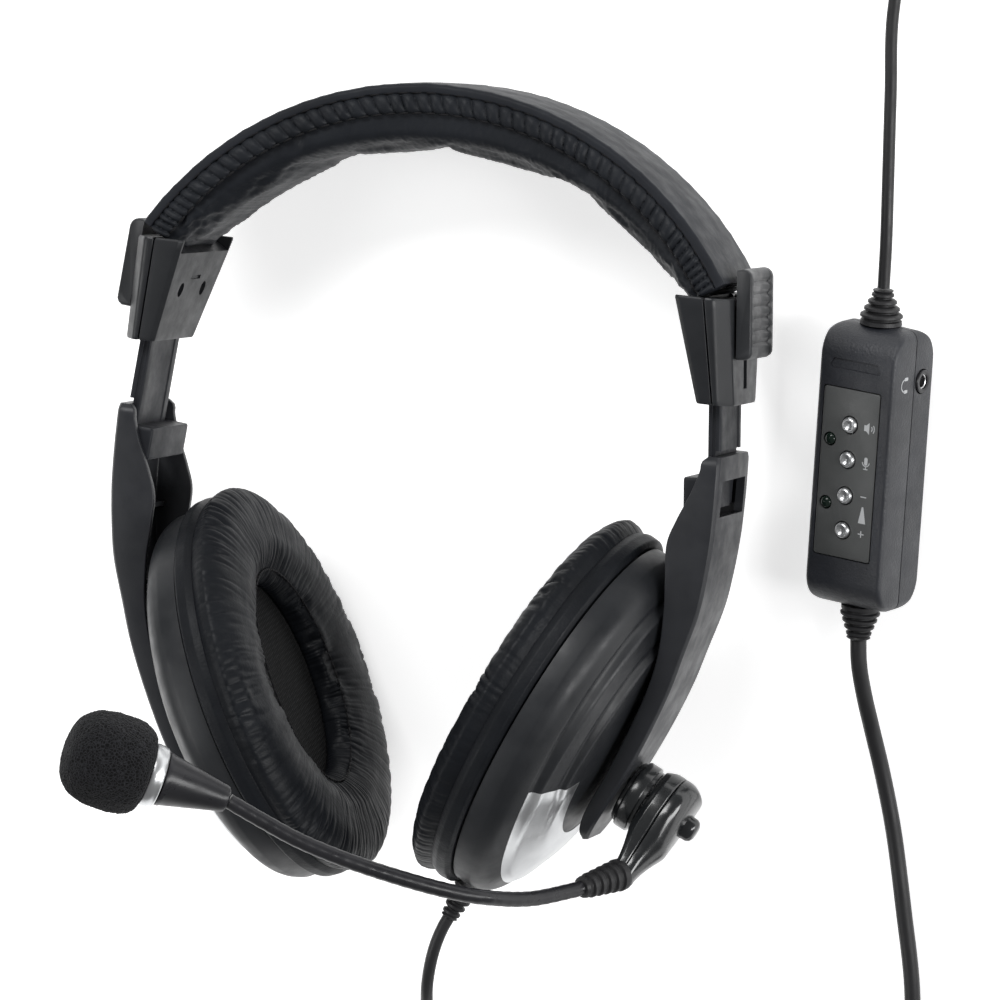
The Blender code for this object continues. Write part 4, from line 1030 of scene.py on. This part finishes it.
def band_wedge(mouth):
    """The band's room in a housing, seen from the housing's mouth."""
    rings = []
    for k in range(41):
        angle = -math.radians(58.3) + 2 * math.radians(58.3) * k / 40
        corners = [(71.0, -18.8), (84.3, -18.8), (84.3, 18.8), (71.0, 18.8)]
        rings.append([Vector(band_point(r, y, angle)) - mouth.translation / MM for r, y in corners])
    return loft(rings)


def build_housing(side, tag):
    down = (0, -side * SLIDE_LEAN, 0)
    mouth = Matrix.Translation(Vector((MOUTH.x * side, 0, MOUTH.z)))
    for half, material in (("outer", HOUSING), ("inner", INNER_FACE)):
        rings = []
        for t in (0.0, 0.012, 0.03, 0.06, 0.15, 0.3, 0.45, 0.6, 0.75, 0.9, 0.975, 0.992, 1.0):
            edge = min(t, 1 - t) * HOUSING_HEIGHT
            less = 0.035 * max(0.0, 1 - edge / 0.7) ** 2
            z = t * HOUSING_HEIGHT * math.cos(SLIDE_LEAN)
            outline = housing_outline(t, half == "outer")
            middle = sum(x for x, _ in outline) / len(outline)
            rings.append([(middle + (x - middle) * (1 - 2.2 * less), y * (1 - 0.4 * less), z)
                          for x, y in outline])
        cuts = [moved(block((3.6, 22.6, 70)), turn=down), band_wedge(mouth)]
        if half == "outer":
            cuts.append(moved(block((8, 3.4, 60)), side * 1.3, 0, 33.5, down))
            cuts.append(moved(block((1.6, 19.0, 26.0)), side * 4.9, 0, 20.4, down))
        else:
            inwards = (0, side * math.pi / 2, 0)
            cuts += [moved(rod(1.75, 0, 6, 32), -side * 9.4, y, SCREW_Z, inwards)
                     for y in (-SCREW_Y, SCREW_Y)]
            cuts.append(moved(block((0.5, 7.0, 5.0)), -side * 7.6, 0, 17.5, down))
        piece(f"housing_{half}_{tag}", flipped(loft(rings), side), material, "headband", HEAD @ mouth,
              [f"slider_housing_{half}_{tag}"], sharp=32, cuts=cuts)
    quarter = [(0.16, 0.16), (0.16, 0.85), (-0.16, 0.85)]
    cross = [(x * c - y * s, x * s + y * c) for c, s in ((1, 0), (0, 1), (-1, 0), (0, -1))
             for x, y in quarter]
    profile = [(0, 0.95), (0.9, 0.9), (1.4, 0.6), (1.55, 0.2), (1.55, -0.6), (0, -0.6)]
    for index, y in enumerate((-SCREW_Y, SCREW_Y)):
        place = (-side * 4.4, y, SCREW_Z, (0, -side * math.pi / 2, 0))
        head = moved(revolve(profile, 32), *place)
        recess = moved(slab(cross, (0.45, 1.35)), *place)
        piece(f"housing_screw_{tag}_{index}", head, STEEL, "headband", HEAD @ mouth, sharp=35, cuts=[recess])


def build_strap(side, tag):
    body, axes = f"slider_{tag}", slider_axes(side)
    down = (0, -side * SLIDE_LEAN, 0)
    thick, wide, groove, edge = 1.5, 11, 0.28, 0.45
    outline = [(-thick, -wide), (-0.5, -wide), (-0.5, -10.7), (0.3, -10.7), (0.3, -wide), (thick, -wide),
               (thick, -8.6), (thick - groove, -8.3), (thick - groove, 8.3), (thick, 8.6), (thick, wide),
               (-thick, wide), (-thick, 8.0), (-thick + groove, 7.7), (-thick + groove, -7.7), (-thick, -8.0)]
    radii = [edge, 0.1, 0.05, 0.05, 0.1, edge, 0.1, 0.1, 0.1, 0.1, edge, edge, 0.1, 0.1, 0.1, 0.1]
    outline = fillet(outline, radii, 3)
    rings = []
    for z, shrink in ((-24.0, 0.94), (-23.5, 1.0), (-12.0, 1.0), (0.0, 1.0), (15.0, 1.0), (15.5, 0.94)):
        rings.append([(x * shrink, y * (1 - (1 - shrink) * 0.4), z) for x, y in outline])
    mesh = moved(flipped(loft(rings), side), MOUTH.x / MM * side, 0, MOUTH.z / MM, down)
    step = moved(block((8, 40, 24)), side * 75.4, 0, 6.6)
    piece(f"slide_strap_{tag}", mesh, STRAP, body, axes, [f"strap_{tag}"], sharp=35,
          cuts=[step])
    foot = fillet(rectangle(2.8, 13.9), 0.7, 4)
    levels = ((-3.75, 0.93), (-3.4, 0.985), (-2.9, 1.0), (2.9, 1.0), (3.4, 0.985), (3.75, 0.93))
    rings = [[(x * s, y * (1 - (1 - s) * 0.2), z) for x, y in foot] for z, s in levels]
    piece(f"strap_foot_{tag}", moved(loft(rings), side * 68.0, 0, 8.4, down), STRAP, body, axes, sharp=35)
    outline = fillet([(-9.5, -3.4), (6.6, -3.4), (6.6, 3.7), (-9.5, 3.7)], 0.4, 4)
    plate = moved(loft([[(x, y, z) for y, z in outline] for x in (-0.4, 0.4)]), side * 71.35, 0, 8.2, down)
    piece(f"strap_plate_{tag}", plate, STRAP, body, axes, sharp=35, bevel=0.12)
    bead = revolve([(0, 0.35), (0.3, 0.25), (0.38, 0), (0, 0)], 16)
    moved(bead, side * 71.75, -8.4, 11.0, (0, side * math.pi / 2, 0))
    piece(f"strap_pin_{tag}", bead, STEEL, body, axes, sharp=40)


def grip_height(k):
    """Height of a step down the grip's face, out of 30."""
    return 19.2 - 17.2 * k / 30


def build_grip(side, tag):
    body, axes = f"slider_{tag}", slider_axes(side)
    back, middle = 5.15, 10.5
    smooth = [(back, 0.0), (back, 21.0), (6.6, 21.2), (7.6, 20.9), (8.35, 20.2), (8.7, 19.2)]
    smooth += [(8.72, grip_height(k)) for k in range(1, 30)] + [(8.7, 1.4), (8.3, 0.6), (7.4, 0.0)]
    grooved = [(back, 0.0), (back, 21.0), (6.6, 21.2), (7.5, 20.9), (8.1, 20.2), (8.3, 19.2)]
    grooved += [(8.3 - (0, 0.12, 0.42, 0.12, 0)[k % 5], grip_height(k)) for k in range(1, 30)]
    grooved += [(8.3, 1.4), (8.0, 0.6), (7.4, 0.0)]
    # Distance from the middle, share of the grooved section and size of the section
    half = [(0, 1, 1.0), (9.1, 1, 1.0), (9.4, 0.5, 1.0), (9.7, 0, 1.0), (11.3, 0, 1.0), (11.8, 0, 0.96),
            (12.0, 0, 0.9)]
    rings = []
    for y, share, shrink in [(-y, share, shrink) for y, share, shrink in half[:0:-1]] + half:
        ring = []
        for (x0, z0), (x1, z1) in zip(smooth, grooved):
            x, z = x0 + (x1 - x0) * share, z0 + (z1 - z0) * share
            ring.append((back + (x - back) * shrink, y, middle + (z - middle) * (0.4 + 0.6 * shrink)))
        rings.append(ring)
    down = (0, -side * SLIDE_LEAN, 0)
    up = Vector((-side * math.sin(SLIDE_LEAN), 0, math.cos(SLIDE_LEAN)))
    at = Vector((side * MOUTH.x, 0, MOUTH.z)) + up * 10.4 * MM
    mesh = moved(flipped(loft(rings), side), at.x / MM, 0, at.z / MM, down)
    cuts = []
    for n in range(6):
        spot = Euler(down).to_matrix() @ Vector((side * 8.5, -9.0, grip_height(5 * n + 2)))
        pit = revolve([(0, -1), (0.45, -1), (0.45, 0.55), (0, 0.75)], 12)
        cuts.append(moved(pit, at.x / MM + spot.x, spot.y, at.z / MM + spot.z, (0, -side * math.pi / 2, 0)))
    piece(f"grip_{tag}", mesh, GRIP, body, axes, [f"thumb_grip_{tag}"], sharp=38, cuts=cuts)
    stem = moved(block((4.9, 2.8, 4.0)), side * 73.0, 0, 44.5, down)
    piece(f"grip_stem_{tag}", stem, GRIP, body, axes, bevel=0.3)


# Height, outer face, free edge of the cheeks and half width of the arm
ARM_STATIONS = [
    (17.4, 73.6, 70.6, 15.0), (16.0, 73.7, 69.3, 16.0), (13.5, 73.8, 69.0, 16.0), (8.0, 73.9, 67.2, 16.0),
    (1.6, 73.9, 64.5, 15.8), (-4.0, 73.7, 62.8, 15.6), (-12.0, 73.0, 63.1, 15.2), (-20.0, 71.8, 63.5, 14.8),
    (-30.0, 69.0, 63.0, 14.1), (-39.0, 66.4, 61.0, 13.4), (-49.5, 62.4, 57.2, 12.5),
    (-60.0, 57.6, 52.8, 11.6), (-69.0, 52.8, 48.6, 10.8), (-74.0, 50.2, 47.2, 9.6), (-76.6, 48.8, 47.6, 7.0),
]


def build_arm(side, tag):
    """The arm: a channel whose cheeks grow shallower and a little narrower towards its top."""
    rings = []
    for z, outer, edge, half in spline(ARM_STATIONS, 110):
        edge = min(edge, outer - 0.9)
        floor, cheek = max(outer - 2.0, edge + 0.45), half - 1.8
        outline = [(edge, -half), (outer - 0.7, -half), (outer, -half + 0.9), (outer, half - 0.9),
                   (outer - 0.7, half), (edge, half), (edge, cheek), (floor, cheek), (floor, -cheek),
                   (edge, -cheek)]
        radii = [0.3, 0.35, 0.45, 0.45, 0.35, 0.3, 0.2, 0.5, 0.5, 0.2]
        radii = [min(r, 0.3 * (outer - edge)) for r in radii]
        rings.append([(x, y, z) for x, y in fillet(outline, radii, 3)])
    mesh = flipped(loft(rings), side)
    window = moved(block((9, 24, 8.4)), side * 75.5, 0.5, 7.6, (0, -side * SLIDE_LEAN, 0))
    axes = slider_axes(side)
    piece(f"arm_channel_{tag}", mesh, ARM, f"slider_{tag}", axes, [f"arm_{tag}"], sharp=32,
          cuts=[window])
    ribs = [moved(block((2.6, 2 * half - 3.9, 1.2)), side * (outer - 3.1), 0, z)
            for z, outer, half in ((-8.0, 73.3, 15.4), (-44.0, 64.6, 13.0))]
    piece(f"arm_ribs_{tag}", joined(*ribs), ARM, f"slider_{tag}", axes, bevel=0.2)


for TAG, SIDE in SIDES:
    build_housing(SIDE, TAG)
    build_strap(SIDE, TAG)
    build_grip(SIDE, TAG)
    build_arm(SIDE, TAG)


# ------------------------------------------------------------------ microphone
BOOM_ROUTE = [
    (52.0, -20.5, -86.0), (50.2, -22.8, -86.7), (43.0, -34.5, -88.2), (35.1, -46.5, -87.4),
    (27.0, -53.0, -85.9), (17.0, -59.0, -83.4), (6.0, -64.5, -80.2), (-4.0, -68.8, -76.6),
    (-13.0, -72.6, -72.2), (-19.4, -75.4, -68.8),
]
HOLDER_FROM, HOLDER_TO = Vector((-20.0, -75.6, -68.4)), Vector((-33.9, -81.6, -64.7))
TAIL_END = 19.6
SWIVEL_PARTING = 4.6


def drop_width(x):
    """Half width of the swivel's teardrop at a distance x below the axle."""
    if x < 2.0:
        return max(0.5, math.sqrt(max(0.0, 9.4 ** 2 - (x * 0.98) ** 2)))
    return 9.2 + (3.4 - 9.2) * eased((x - 2.0) / (TAIL_END - 2.0)) ** 0.8


def lower_section(wide):
    """The swivel's half towards the arm, where it is this wide from its middle."""
    top = SWIVEL_PARTING
    low = top - top * min(1.0, wide / 6.5)
    cheek = low + 0.35 * (top - low)
    outline = [(-0.80 * wide, low), (0.80 * wide, low), (wide, cheek), (wide, 4.25), (0.95 * wide, top),
               (-0.95 * wide, top), (-wide, 4.25), (-wide, cheek)]
    return fillet(outline, 0.22 * wide * 0.3, 4)


def upper_section(wide):
    """The swivel's domed outer half, with its lower corners turned in."""
    top, out = 5.3 * min(1.0, wide / 6.5), []
    for k in range(29):
        turn, corner = math.pi * k / 28, k in (0, 28)
        z = 5.25 + top * max(0.0, math.sin(turn)) ** 0.75 - 0.35 * corner
        out.append((-wide * math.cos(turn) * (0.965 if corner else 1.0), z))
    return out


def build_swivel():
    base = swivel_axes()
    boss = [(0, 0), (7.3, 0), (7.7, 0.3), (7.8, 1.0), (8.45, 1.35), (8.6, 1.7), (8.6, 4.2), (8.45, 4.5),
            (7.9, 4.7), (7.9, 5.4), (7.7, 5.6), (0, 5.6)]
    piece("mic_boss_turned", revolve(boss, 96), GLOSS, "slider_right", base, ["mic_boss"],
          sharp=35)
    axes = base @ shift(0, 0, BOSS_LENGTH + 0.3)
    turned_axes = axes @ Matrix.Rotation(BOOM_SWING, 4, "Z")
    xs = [-9.2 + (9.2 + TAIL_END) * (0.5 - 0.5 * math.cos(math.pi * k / 56)) for k in range(57)]
    for half, section in (("inner", lower_section), ("outer", upper_section)):
        rings = [[(x, y, z) for y, z in section(drop_width(x))] for x in xs]
        piece(f"swivel_{half}", loft(rings), GLOSS, "mic_arm", turned_axes, [f"mic_swivel_{half}"],
              sharp=55)
    nub = [(0, 13.4), (1.6, 13.35), (2.5, 12.9), (2.95, 12.1), (3.0, 11.0), (3.3, 10.0), (3.6, 9.0), (0, 9.0)]
    piece("swivel_nub", revolve(nub, 48), GLOSS, "mic_arm", turned_axes, sharp=50)
    return axes


def build_boom(axes):
    body, wear_and_highlight_colour = "mic_arm", slider_axes(1)
    route = spline([(54.6, -17.5, -85.2)] + BOOM_ROUTE, 110)[3:]
    tube = sweep(route, lambda i: circle(1.8 + 0.04 * math.sin(i * 1.9), 20))
    piece("boom_tube", tube, BLACK, body, wear_and_highlight_colour, ["mic_boom"], sharp=60)
    tail = Matrix.Rotation(BOOM_SWING, 3, "Z") @ Vector((TAIL_END - 0.8, 0, 4.75)) * MM
    root = wear_and_highlight_colour.inverted() @ axes @ tail
    aim = Vector(BOOM_ROUTE[0]) * MM - root
    end = aim.length / MM
    profile = [(0, 0), (3.5, 0), (3.75, 0.3)]
    ribs = 5
    pitch = (end - 1.6) / ribs
    for n in range(ribs):
        z, r = 0.9 + n * (end - 1.6) / ribs, 3.85 - 0.22 * n
        profile += [(r, z), (r + 0.05, z + 0.45 * pitch), (r - 0.5, z + 0.6 * pitch),
                    (r - 0.5, z + 0.85 * pitch)]
    profile += [(2.7, end - 0.5), (2.5, end + 0.3), (1.95, end + 0.5), (0, end + 0.5)]
    place = wear_and_highlight_colour @ Matrix.Translation(root) @ pointing(aim)
    piece("boom_root_sleeve", revolve(profile, 48), RUBBER, body, place, ["boom_sleeve"], sharp=35)
    axis = HOLDER_TO - HOLDER_FROM
    span = axis.length
    place = wear_and_highlight_colour @ shift(*HOLDER_FROM) @ pointing(axis)
    holder = [(0, -0.4), (2.2, -0.4), (2.9, 0.0), (3.15, 0.6), (3.3, 1.4), (6.1, span - 1.2),
              (6.35, span - 0.7), (6.35, span - 0.1), (6.1, span), (0, span)]
    piece("holder_cone", revolve(holder, 64), BLACK, body, place, ["mic_holder"], sharp=35)
    ring = [(0, 0.3), (6.6, 0.3), (6.95, 0.6), (7.0, 1.2), (7.25, 1.6), (7.35, 3.0), (7.2, 3.4), (0, 3.4)]
    mesh = moved(revolve(ring, 64), z=span)
    piece("holder_ring", mesh, SILVER, body, place, ["mic_ring"], sharp=35)
    build_foam(body, place, span + 3.5)


def build_foam(body, place, base):
    outline = [(6.9, 0.0), (8.9, 0.7), (10.5, 2.9), (11.2, 7.0), (11.0, 11.8), (9.8, 15.8), (6.9, 18.7),
               (3.2, 19.8), (0.02, 20.0)]
    profile = [(0, 0.6)] + [(float(r), float(z)) for r, z in spline(outline, 90)]

    def pitted(angle, r, z):
        x, y = r * math.cos(angle), r * math.sin(angle)
        coarse = 0.22 * noise3(x * 0.35, y * 0.35, z * 0.35)
        pits = 0.20 * noise3(x * 1.9, y * 1.9, z * 1.9) + 0.16 * noise3(x * 3.7 + 9, y * 3.7, z * 3.7)
        return max(0.01, r + (coarse + pits) * min(1.0, r / 3)), z + pits * 0.6 * max(0.0, 1 - r / 9)
    mesh = moved(revolve(profile, 200, pitted), z=base)
    piece("foam_cover", mesh, FOAM, body, place, ["windscreen"], sharp=180)


build_boom(build_swivel())


# ------------------------------------------------------------------ remote
BUTTON_X, LIGHT_X = -0.6, -5.9
BUTTON_Y = {"speaker_mute": 11.0, "mic_mute": 2.6, "volume_down": -6.1, "volume_up": -14.5}
LIGHT_Y = {"upper": 6.8, "lower": -8.6}
SIDEWAYS = (0, math.pi / 2, 0)


def quarter_round(radius, past):
    """Height left of a rounded end, at a distance past the start of its curve."""
    return math.sqrt(max(0.0, radius ** 2 - max(0.0, past) ** 2))


def remote_rings(front):
    half, length, rings = REMOTE_WIDTH / 2, REMOTE_LENGTH / 2, []
    end, corner = 7.5, 2.6
    full = REMOTE_FRONT if front else REMOTE_REAR
    ends = [length - end + end * math.sin(math.pi / 2 * k / 14) for k in range(15)]
    for y in [-e for e in reversed(ends)] + [-20, -10, 0, 10, 20] + ends:
        wide = half - (corner - quarter_round(corner, abs(y) - (length - corner)))
        deep = max(0.5, full - end + quarter_round(end, abs(y) - (length - end)))
        if front:
            outline = [(-wide, 0.12), (-wide, deep), (wide, deep), (wide, 0.12)]
            radii = [0.15, min(1.3, deep * 0.5), min(1.3, deep * 0.5), 0.15]
        else:
            keel = half * math.tan(REMOTE_ROLL) * deep / REMOTE_REAR
            outline = [(wide, -0.12), (wide, -deep), (0, -deep - keel), (-wide, -deep), (-wide, -0.12)]
            radii = [0.15, min(0.9, deep * 0.5), 0.4, min(0.9, deep * 0.5), 0.15]
        rings.append([(x, y, z) for x, z in fillet(outline, radii, 5)])
    return rings


def build_case(axes):
    """The remote's two shells and the plate let into the front one."""
    holes = [moved(rod(2.25, 0, 8, 40), BUTTON_X, y, 5) for y in BUTTON_Y.values()]
    holes += [moved(rod(1.7, 0, 8, 32), LIGHT_X, y, 5) for y in LIGHT_Y.values()]
    copies = [hole.copy() for hole in holes]
    recess = moved(slab(fillet(rectangle(8, 20.6), 0.7, 4), (-0.85, 0.85)), *FACE_PLATE_AT)
    outline = fillet([(-7.2, -1.2), (7.2, -1.2), (6.2, 1.2), (-6.2, 1.2)], 0.6, 4)
    relief = moved(slab(outline, (-0.4, 0.4)), -0.3, 25.2, 9.25)
    piece("remote_front", loft(remote_rings(True)), REMOTE, "headband", axes, ["remote_front_shell"],
          sharp=32, cuts=[recess, relief] + holes)
    jack = moved(rod(3.05, -8, 4, 40), 11.0 - 1.6, SOCKET_Y, SOCKET_Z, SIDEWAYS)
    piece("remote_back", loft(remote_rings(False)), REMOTE, "headband", axes, ["remote_rear_shell"],
          sharp=32, cuts=[jack])
    outline, levels = fillet(rectangle(7.7, 20.3), 0.6, 4), ((-0.4, 1.0), (0.32, 1.0), (0.4, 0.985))
    plate = loft([[(x * s, y * (1 - (1 - s) * 0.4), z) for x, y in outline] for z, s in levels])
    piece("remote_plate", moved(plate, *FACE_PLATE_AT), PLATE, "headband", axes, ["remote_face_plate"],
          sharp=32, cuts=copies)


def build_controls(axes):
    """The four keys, the two lights and the headphone socket."""
    cap = [(0, 0.30), (0.55, 0.42), (0.95, 0.72), (1.25, 0.93), (1.55, 0.86), (1.85, 0.5), (2.0, 0.0),
           (2.0, -3.2), (0, -3.2)]
    for label, y in BUTTON_Y.items():
        mesh = moved(revolve(cap, 56), BUTTON_X, y, REMOTE_FRONT + 0.15)
        piece(f"key_{label}", mesh, SILVER, f"{label}_button", axes, [f"button_{label}"],
              sharp=50)
    dome = [(0, 0.5), (0.5, 0.46), (1.0, 0.28), (1.35, 0.0), (1.45, -0.4), (1.45, -3.0), (0, -3.0)]
    for label, y in LIGHT_Y.items():
        mesh = moved(revolve(dome, 40), LIGHT_X, y, REMOTE_FRONT + 0.15)
        piece(f"lamp_{label}", mesh, LENS, "headband", axes, [f"remote_light_{label}"],
              sharp=50)
    repaint(BOARD, "remote_board")
    at = (11.0, SOCKET_Y, SOCKET_Z, SIDEWAYS)
    socket = [(1.75, -6.5), (1.75, -0.1), (2.0, 0.0), (2.6, 0.0), (2.8, -0.2), (2.8, -8.6), (1.75, -8.6),
              (1.75, -6.5)]
    piece("socket_body", moved(revolve(socket, 48), *at), BLACK, "headband", axes, ["headphone_socket"],
          sharp=35)
    contact = [(1.7, -6.0), (1.7, -0.5), (1.5, -0.6), (1.5, -6.0), (1.7, -6.0)]
    piece("socket_contact", moved(revolve(contact, 40), *at), STEEL, "headband", axes, sharp=35)


def build_remote():
    axes = remote_axes()
    build_case(axes)
    build_controls(axes)
    build_sleeves(axes)
    build_symbols(axes)


def ribbed(first, last, length, ribs, tip):
    """Profile of a moulded strain relief from its thin end at 0 to its thick end."""
    profile = [(tip, 0), (first - 0.15, 0), (first, 0.15)]
    pitch = (length - 1.6) / ribs
    for n in range(ribs):
        r, z = first + (last - first) * n / (ribs - 1), 0.6 + n * pitch
        rib = ((-0.35, 0), (0.12, 0.2), (0.2, 0.5), (-0.05, 0.62), (-0.5, 0.7), (-0.5, 0.9))
        profile += [(r + out, z + share * pitch) for out, share in rib]
    return profile + [(last, length - 0.9), (last + 0.1, length), (0, length)]


def build_sleeves(axes):
    """The two strain reliefs of the remote, round, ribbed and stepped towards the case."""
    end = REMOTE_LENGTH / 2 + 8.4
    for label, way, first, last in (("top", 1, 2.5, 4.9), ("bottom", -1, 2.9, 4.6)):
        mesh = moved(revolve(ribbed(first, last, 8.2, 4, 1.7), 64), turn=(way * math.pi / 2, 0, 0),
                     y=way * end, z=-0.2)
        piece(f"relief_{label}", mesh, RUBBER, "headband", axes, [f"remote_sleeve_{label}"],
              sharp=35)


def flat(points, depth=0.04):
    """A thin printed shape from its outline on the plate."""
    return slab(points, (0.0, depth))


def stroke(points, width):
    """Outline of a line of the given width through the points."""
    line = [Vector(p) for p in points]
    left, right = [], []
    for i, at in enumerate(line):
        way = (line[min(i + 1, len(line) - 1)] - line[max(i - 1, 0)]).normalized()
        across = Vector((-way.y, way.x)) * width / 2
        left.append(tuple(at + across))
        right.append(tuple(at - across))
    return left + right[::-1]


def arc(cx, cy, radius, begin, end):
    angles = [math.radians(begin + (end - begin) * k / 14) for k in range(15)]
    return [(cx + radius * math.cos(angle), cy + radius * math.sin(angle)) for angle in angles]


def line_sign(points, width=0.26):
    return flat(stroke(points, width))


def build_symbols(axes):
    """Printed signs beside the buttons, and a headphone sign beside the socket."""
    x = 4.5
    cone = [(x - 1.1, 10.3), (x - 0.5, 10.3), (x + 0.3, 9.6), (x + 0.3, 12.4), (x - 0.5, 11.7),
            (x - 1.1, 11.7)]
    speaker = [flat(cone)] + [line_sign(arc(x + 0.2, 11.0, r, -38, 38), 0.24) for r in (0.9, 1.5)]
    capsule = fillet([(x - 0.45, 2.1), (x + 0.45, 2.1), (x + 0.45, 4.0), (x - 0.45, 4.0)], 0.44, 6)
    lines = (arc(x, 2.8, 0.95, 180, 360), [(x, 1.9), (x, 1.2)], [(x - 0.6, 1.15), (x + 0.6, 1.15)])
    microphone = [flat(capsule)] + [line_sign(line, 0.22) for line in lines]
    wedge = [(x - 0.2, -8.0), (x + 0.2, -8.0), (x + 1.0, -12.0), (x - 1.0, -12.0)]
    volume = [line_sign([(x - 0.8, -5.6), (x + 0.8, -5.6)]), flat(wedge),
              line_sign([(x - 0.8, -14.6), (x + 0.8, -14.6)]), line_sign([(x, -13.8), (x, -15.4)])]
    signs = joined(*speaker, *microphone, *volume)
    piece("plate_symbols", signs, PAINT, "headband", axes @ shift(0, 0, 9.46), sharp=60)
    headphones = [flat(stroke(arc(0, 0, 1.5, 0, 180), 0.28), 0.03)]
    for left, right in ((-1.9, -1.1), (1.1, 1.9)):
        outline = fillet([(left, -1.2), (right, -1.2), (right, 0.3), (left, 0.3)], 0.25, 3)
        headphones.append(flat(outline, 0.03))
    side_face = Matrix(((0, 0, 1), (1, 0, 0), (0, 1, 0))).to_4x4()
    place = axes @ shift(10.5, SOCKET_Y, 4.2) @ side_face
    piece("socket_symbol", joined(*headphones), PAINT, "headband", place, sharp=60)


build_remote()


# ------------------------------------------------------------------ plug, tie and cord sleeve
def build_plug():
    place = TABLE @ shift(44.0, -168.0, 4.8)
    outline = fillet(rectangle(8, 4), 1.9, 6)
    # Places along the plug and the size of its section there: a tapered end, three grooves, a rounded nose
    stations = [(-23, 0.55), (-22.6, 0.7), (-21.5, 0.82), (-19, 0.92), (-16, 0.97)]
    for groove in (-12.6, -9.8, -7.0):
        stations += [(groove - 0.4, 1.0), (groove, 0.95), (groove + 0.8, 0.95), (groove + 1.2, 1.0)]
    stations += [(6, 1.0), (9.2, 1.0), (9.9, 0.97), (10, 0.93)]
    rings = [[(x * s, y, z * s) for x, z in outline] for y, s in stations]
    piece("usb_plug", loft(rings), BLACK, "headband", place, ["plug_body"], sharp=40)
    outline = fillet(rectangle(6, 2.25), 0.5, 4)
    rings = [[(x, y, z) for x, z in outline] for y in (10.3, 28.5, 28.7)]
    cuts = [moved(block((11.4, 20, 2.0)), 0, 21.9, 0.95)]
    cuts += [moved(block((2.2, 2.2, tall)), x, 22.5, z) for tall, z in ((2.0, 2.3), (0.6, -2.3))
             for x in (-2.9, 2.9)]
    piece("usb_plug_shell", loft(rings), STEEL, "headband", place, ["plug_shell"], sharp=35,
          cuts=cuts)


def build_tie():
    rings = []
    for x, z in fillet([(-6.8, 0.05), (6.8, 0.05), (6.8, 12.95), (-6.8, 12.95)], 2.2, 6):
        way = Vector((x, z - 6.5)).normalized()
        section = ((-3, -0.35), (-3, 0.0), (-2.6, 0.12), (2.6, 0.12), (3, 0.0), (3, -0.35))
        rings.append([(y, x + way.x * d, z + way.y * d) for y, d in section])
    at = TABLE @ Matrix.Translation(COIL_CENTRE * MM + Vector((0, COIL_RADIUS, 0)) * MM)
    piece("lead_tie", loft(rings, True), RUBBER, "headband", at, ["cord_tie"], sharp=60)


def build_cup_relief():
    sleeve = [(r, -56.2 + z) for r, z in ribbed(2.1, 3.0, 9.0, 4, 1.62)]
    at = cup_axes(1) @ shift(1.6, 0, 0)
    relief = piece("cord_relief", revolve(sleeve, 56), RUBBER, None, at, ["cord_sleeve"], sharp=35)
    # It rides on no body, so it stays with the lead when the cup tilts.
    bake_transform(relief)


build_plug()
build_tie()
build_cup_relief()
build_leads()


# ------------------------------------------------------------------ stage
def build_stage():
    mesh = bpy.data.meshes.new("floor")
    mesh.from_pydata([(x, y, -0.0004) for x, y in rectangle(6.0, 6.0)], [], [(0, 1, 2, 3)])
    floor = in_scene("floor", mesh)
    white = start_material("floor_white", base_color=(0.95, 0.95, 0.95, 1), emission_color=(1, 1, 1, 1),
                           emission_strength=0.52, roughness=0.9, specular_ior_level=0.1)[0]
    mesh.materials.append(white)
    bpy.context.scene.view_settings.view_transform = "Standard"
    world = bpy.data.worlds.new("world")
    bpy.context.scene.world = world
    world.use_nodes = True
    background = world.node_tree.nodes["Background"].inputs
    background["Color"].default_value = (1, 1, 1, 1)
    background["Strength"].default_value = 0.22
    # Place, width, height and watts of each lamp; all of them aim at the frame's origin
    lamps = [((-0.35, 1.1, 1.1), 1.0, 0.5, 17), ((1.3, 0.1, 0.7), 0.4, 1.2, 16),
             ((-1.1, -0.3, 1.0), 0.8, 0.8, 7)]
    for index, (place, width, height, watts) in enumerate(lamps):
        light = bpy.data.lights.new(f"lamp_{index}", "AREA")
        light.shape = "RECTANGLE"
        light.size, light.size_y, light.energy = width, height, watts
        lamp = in_scene(f"lamp_{index}", light)
        lamp.location = place
        lamp.rotation_euler = (-Vector(place)).to_track_quat("-Z", "Y").to_euler()


build_stage()
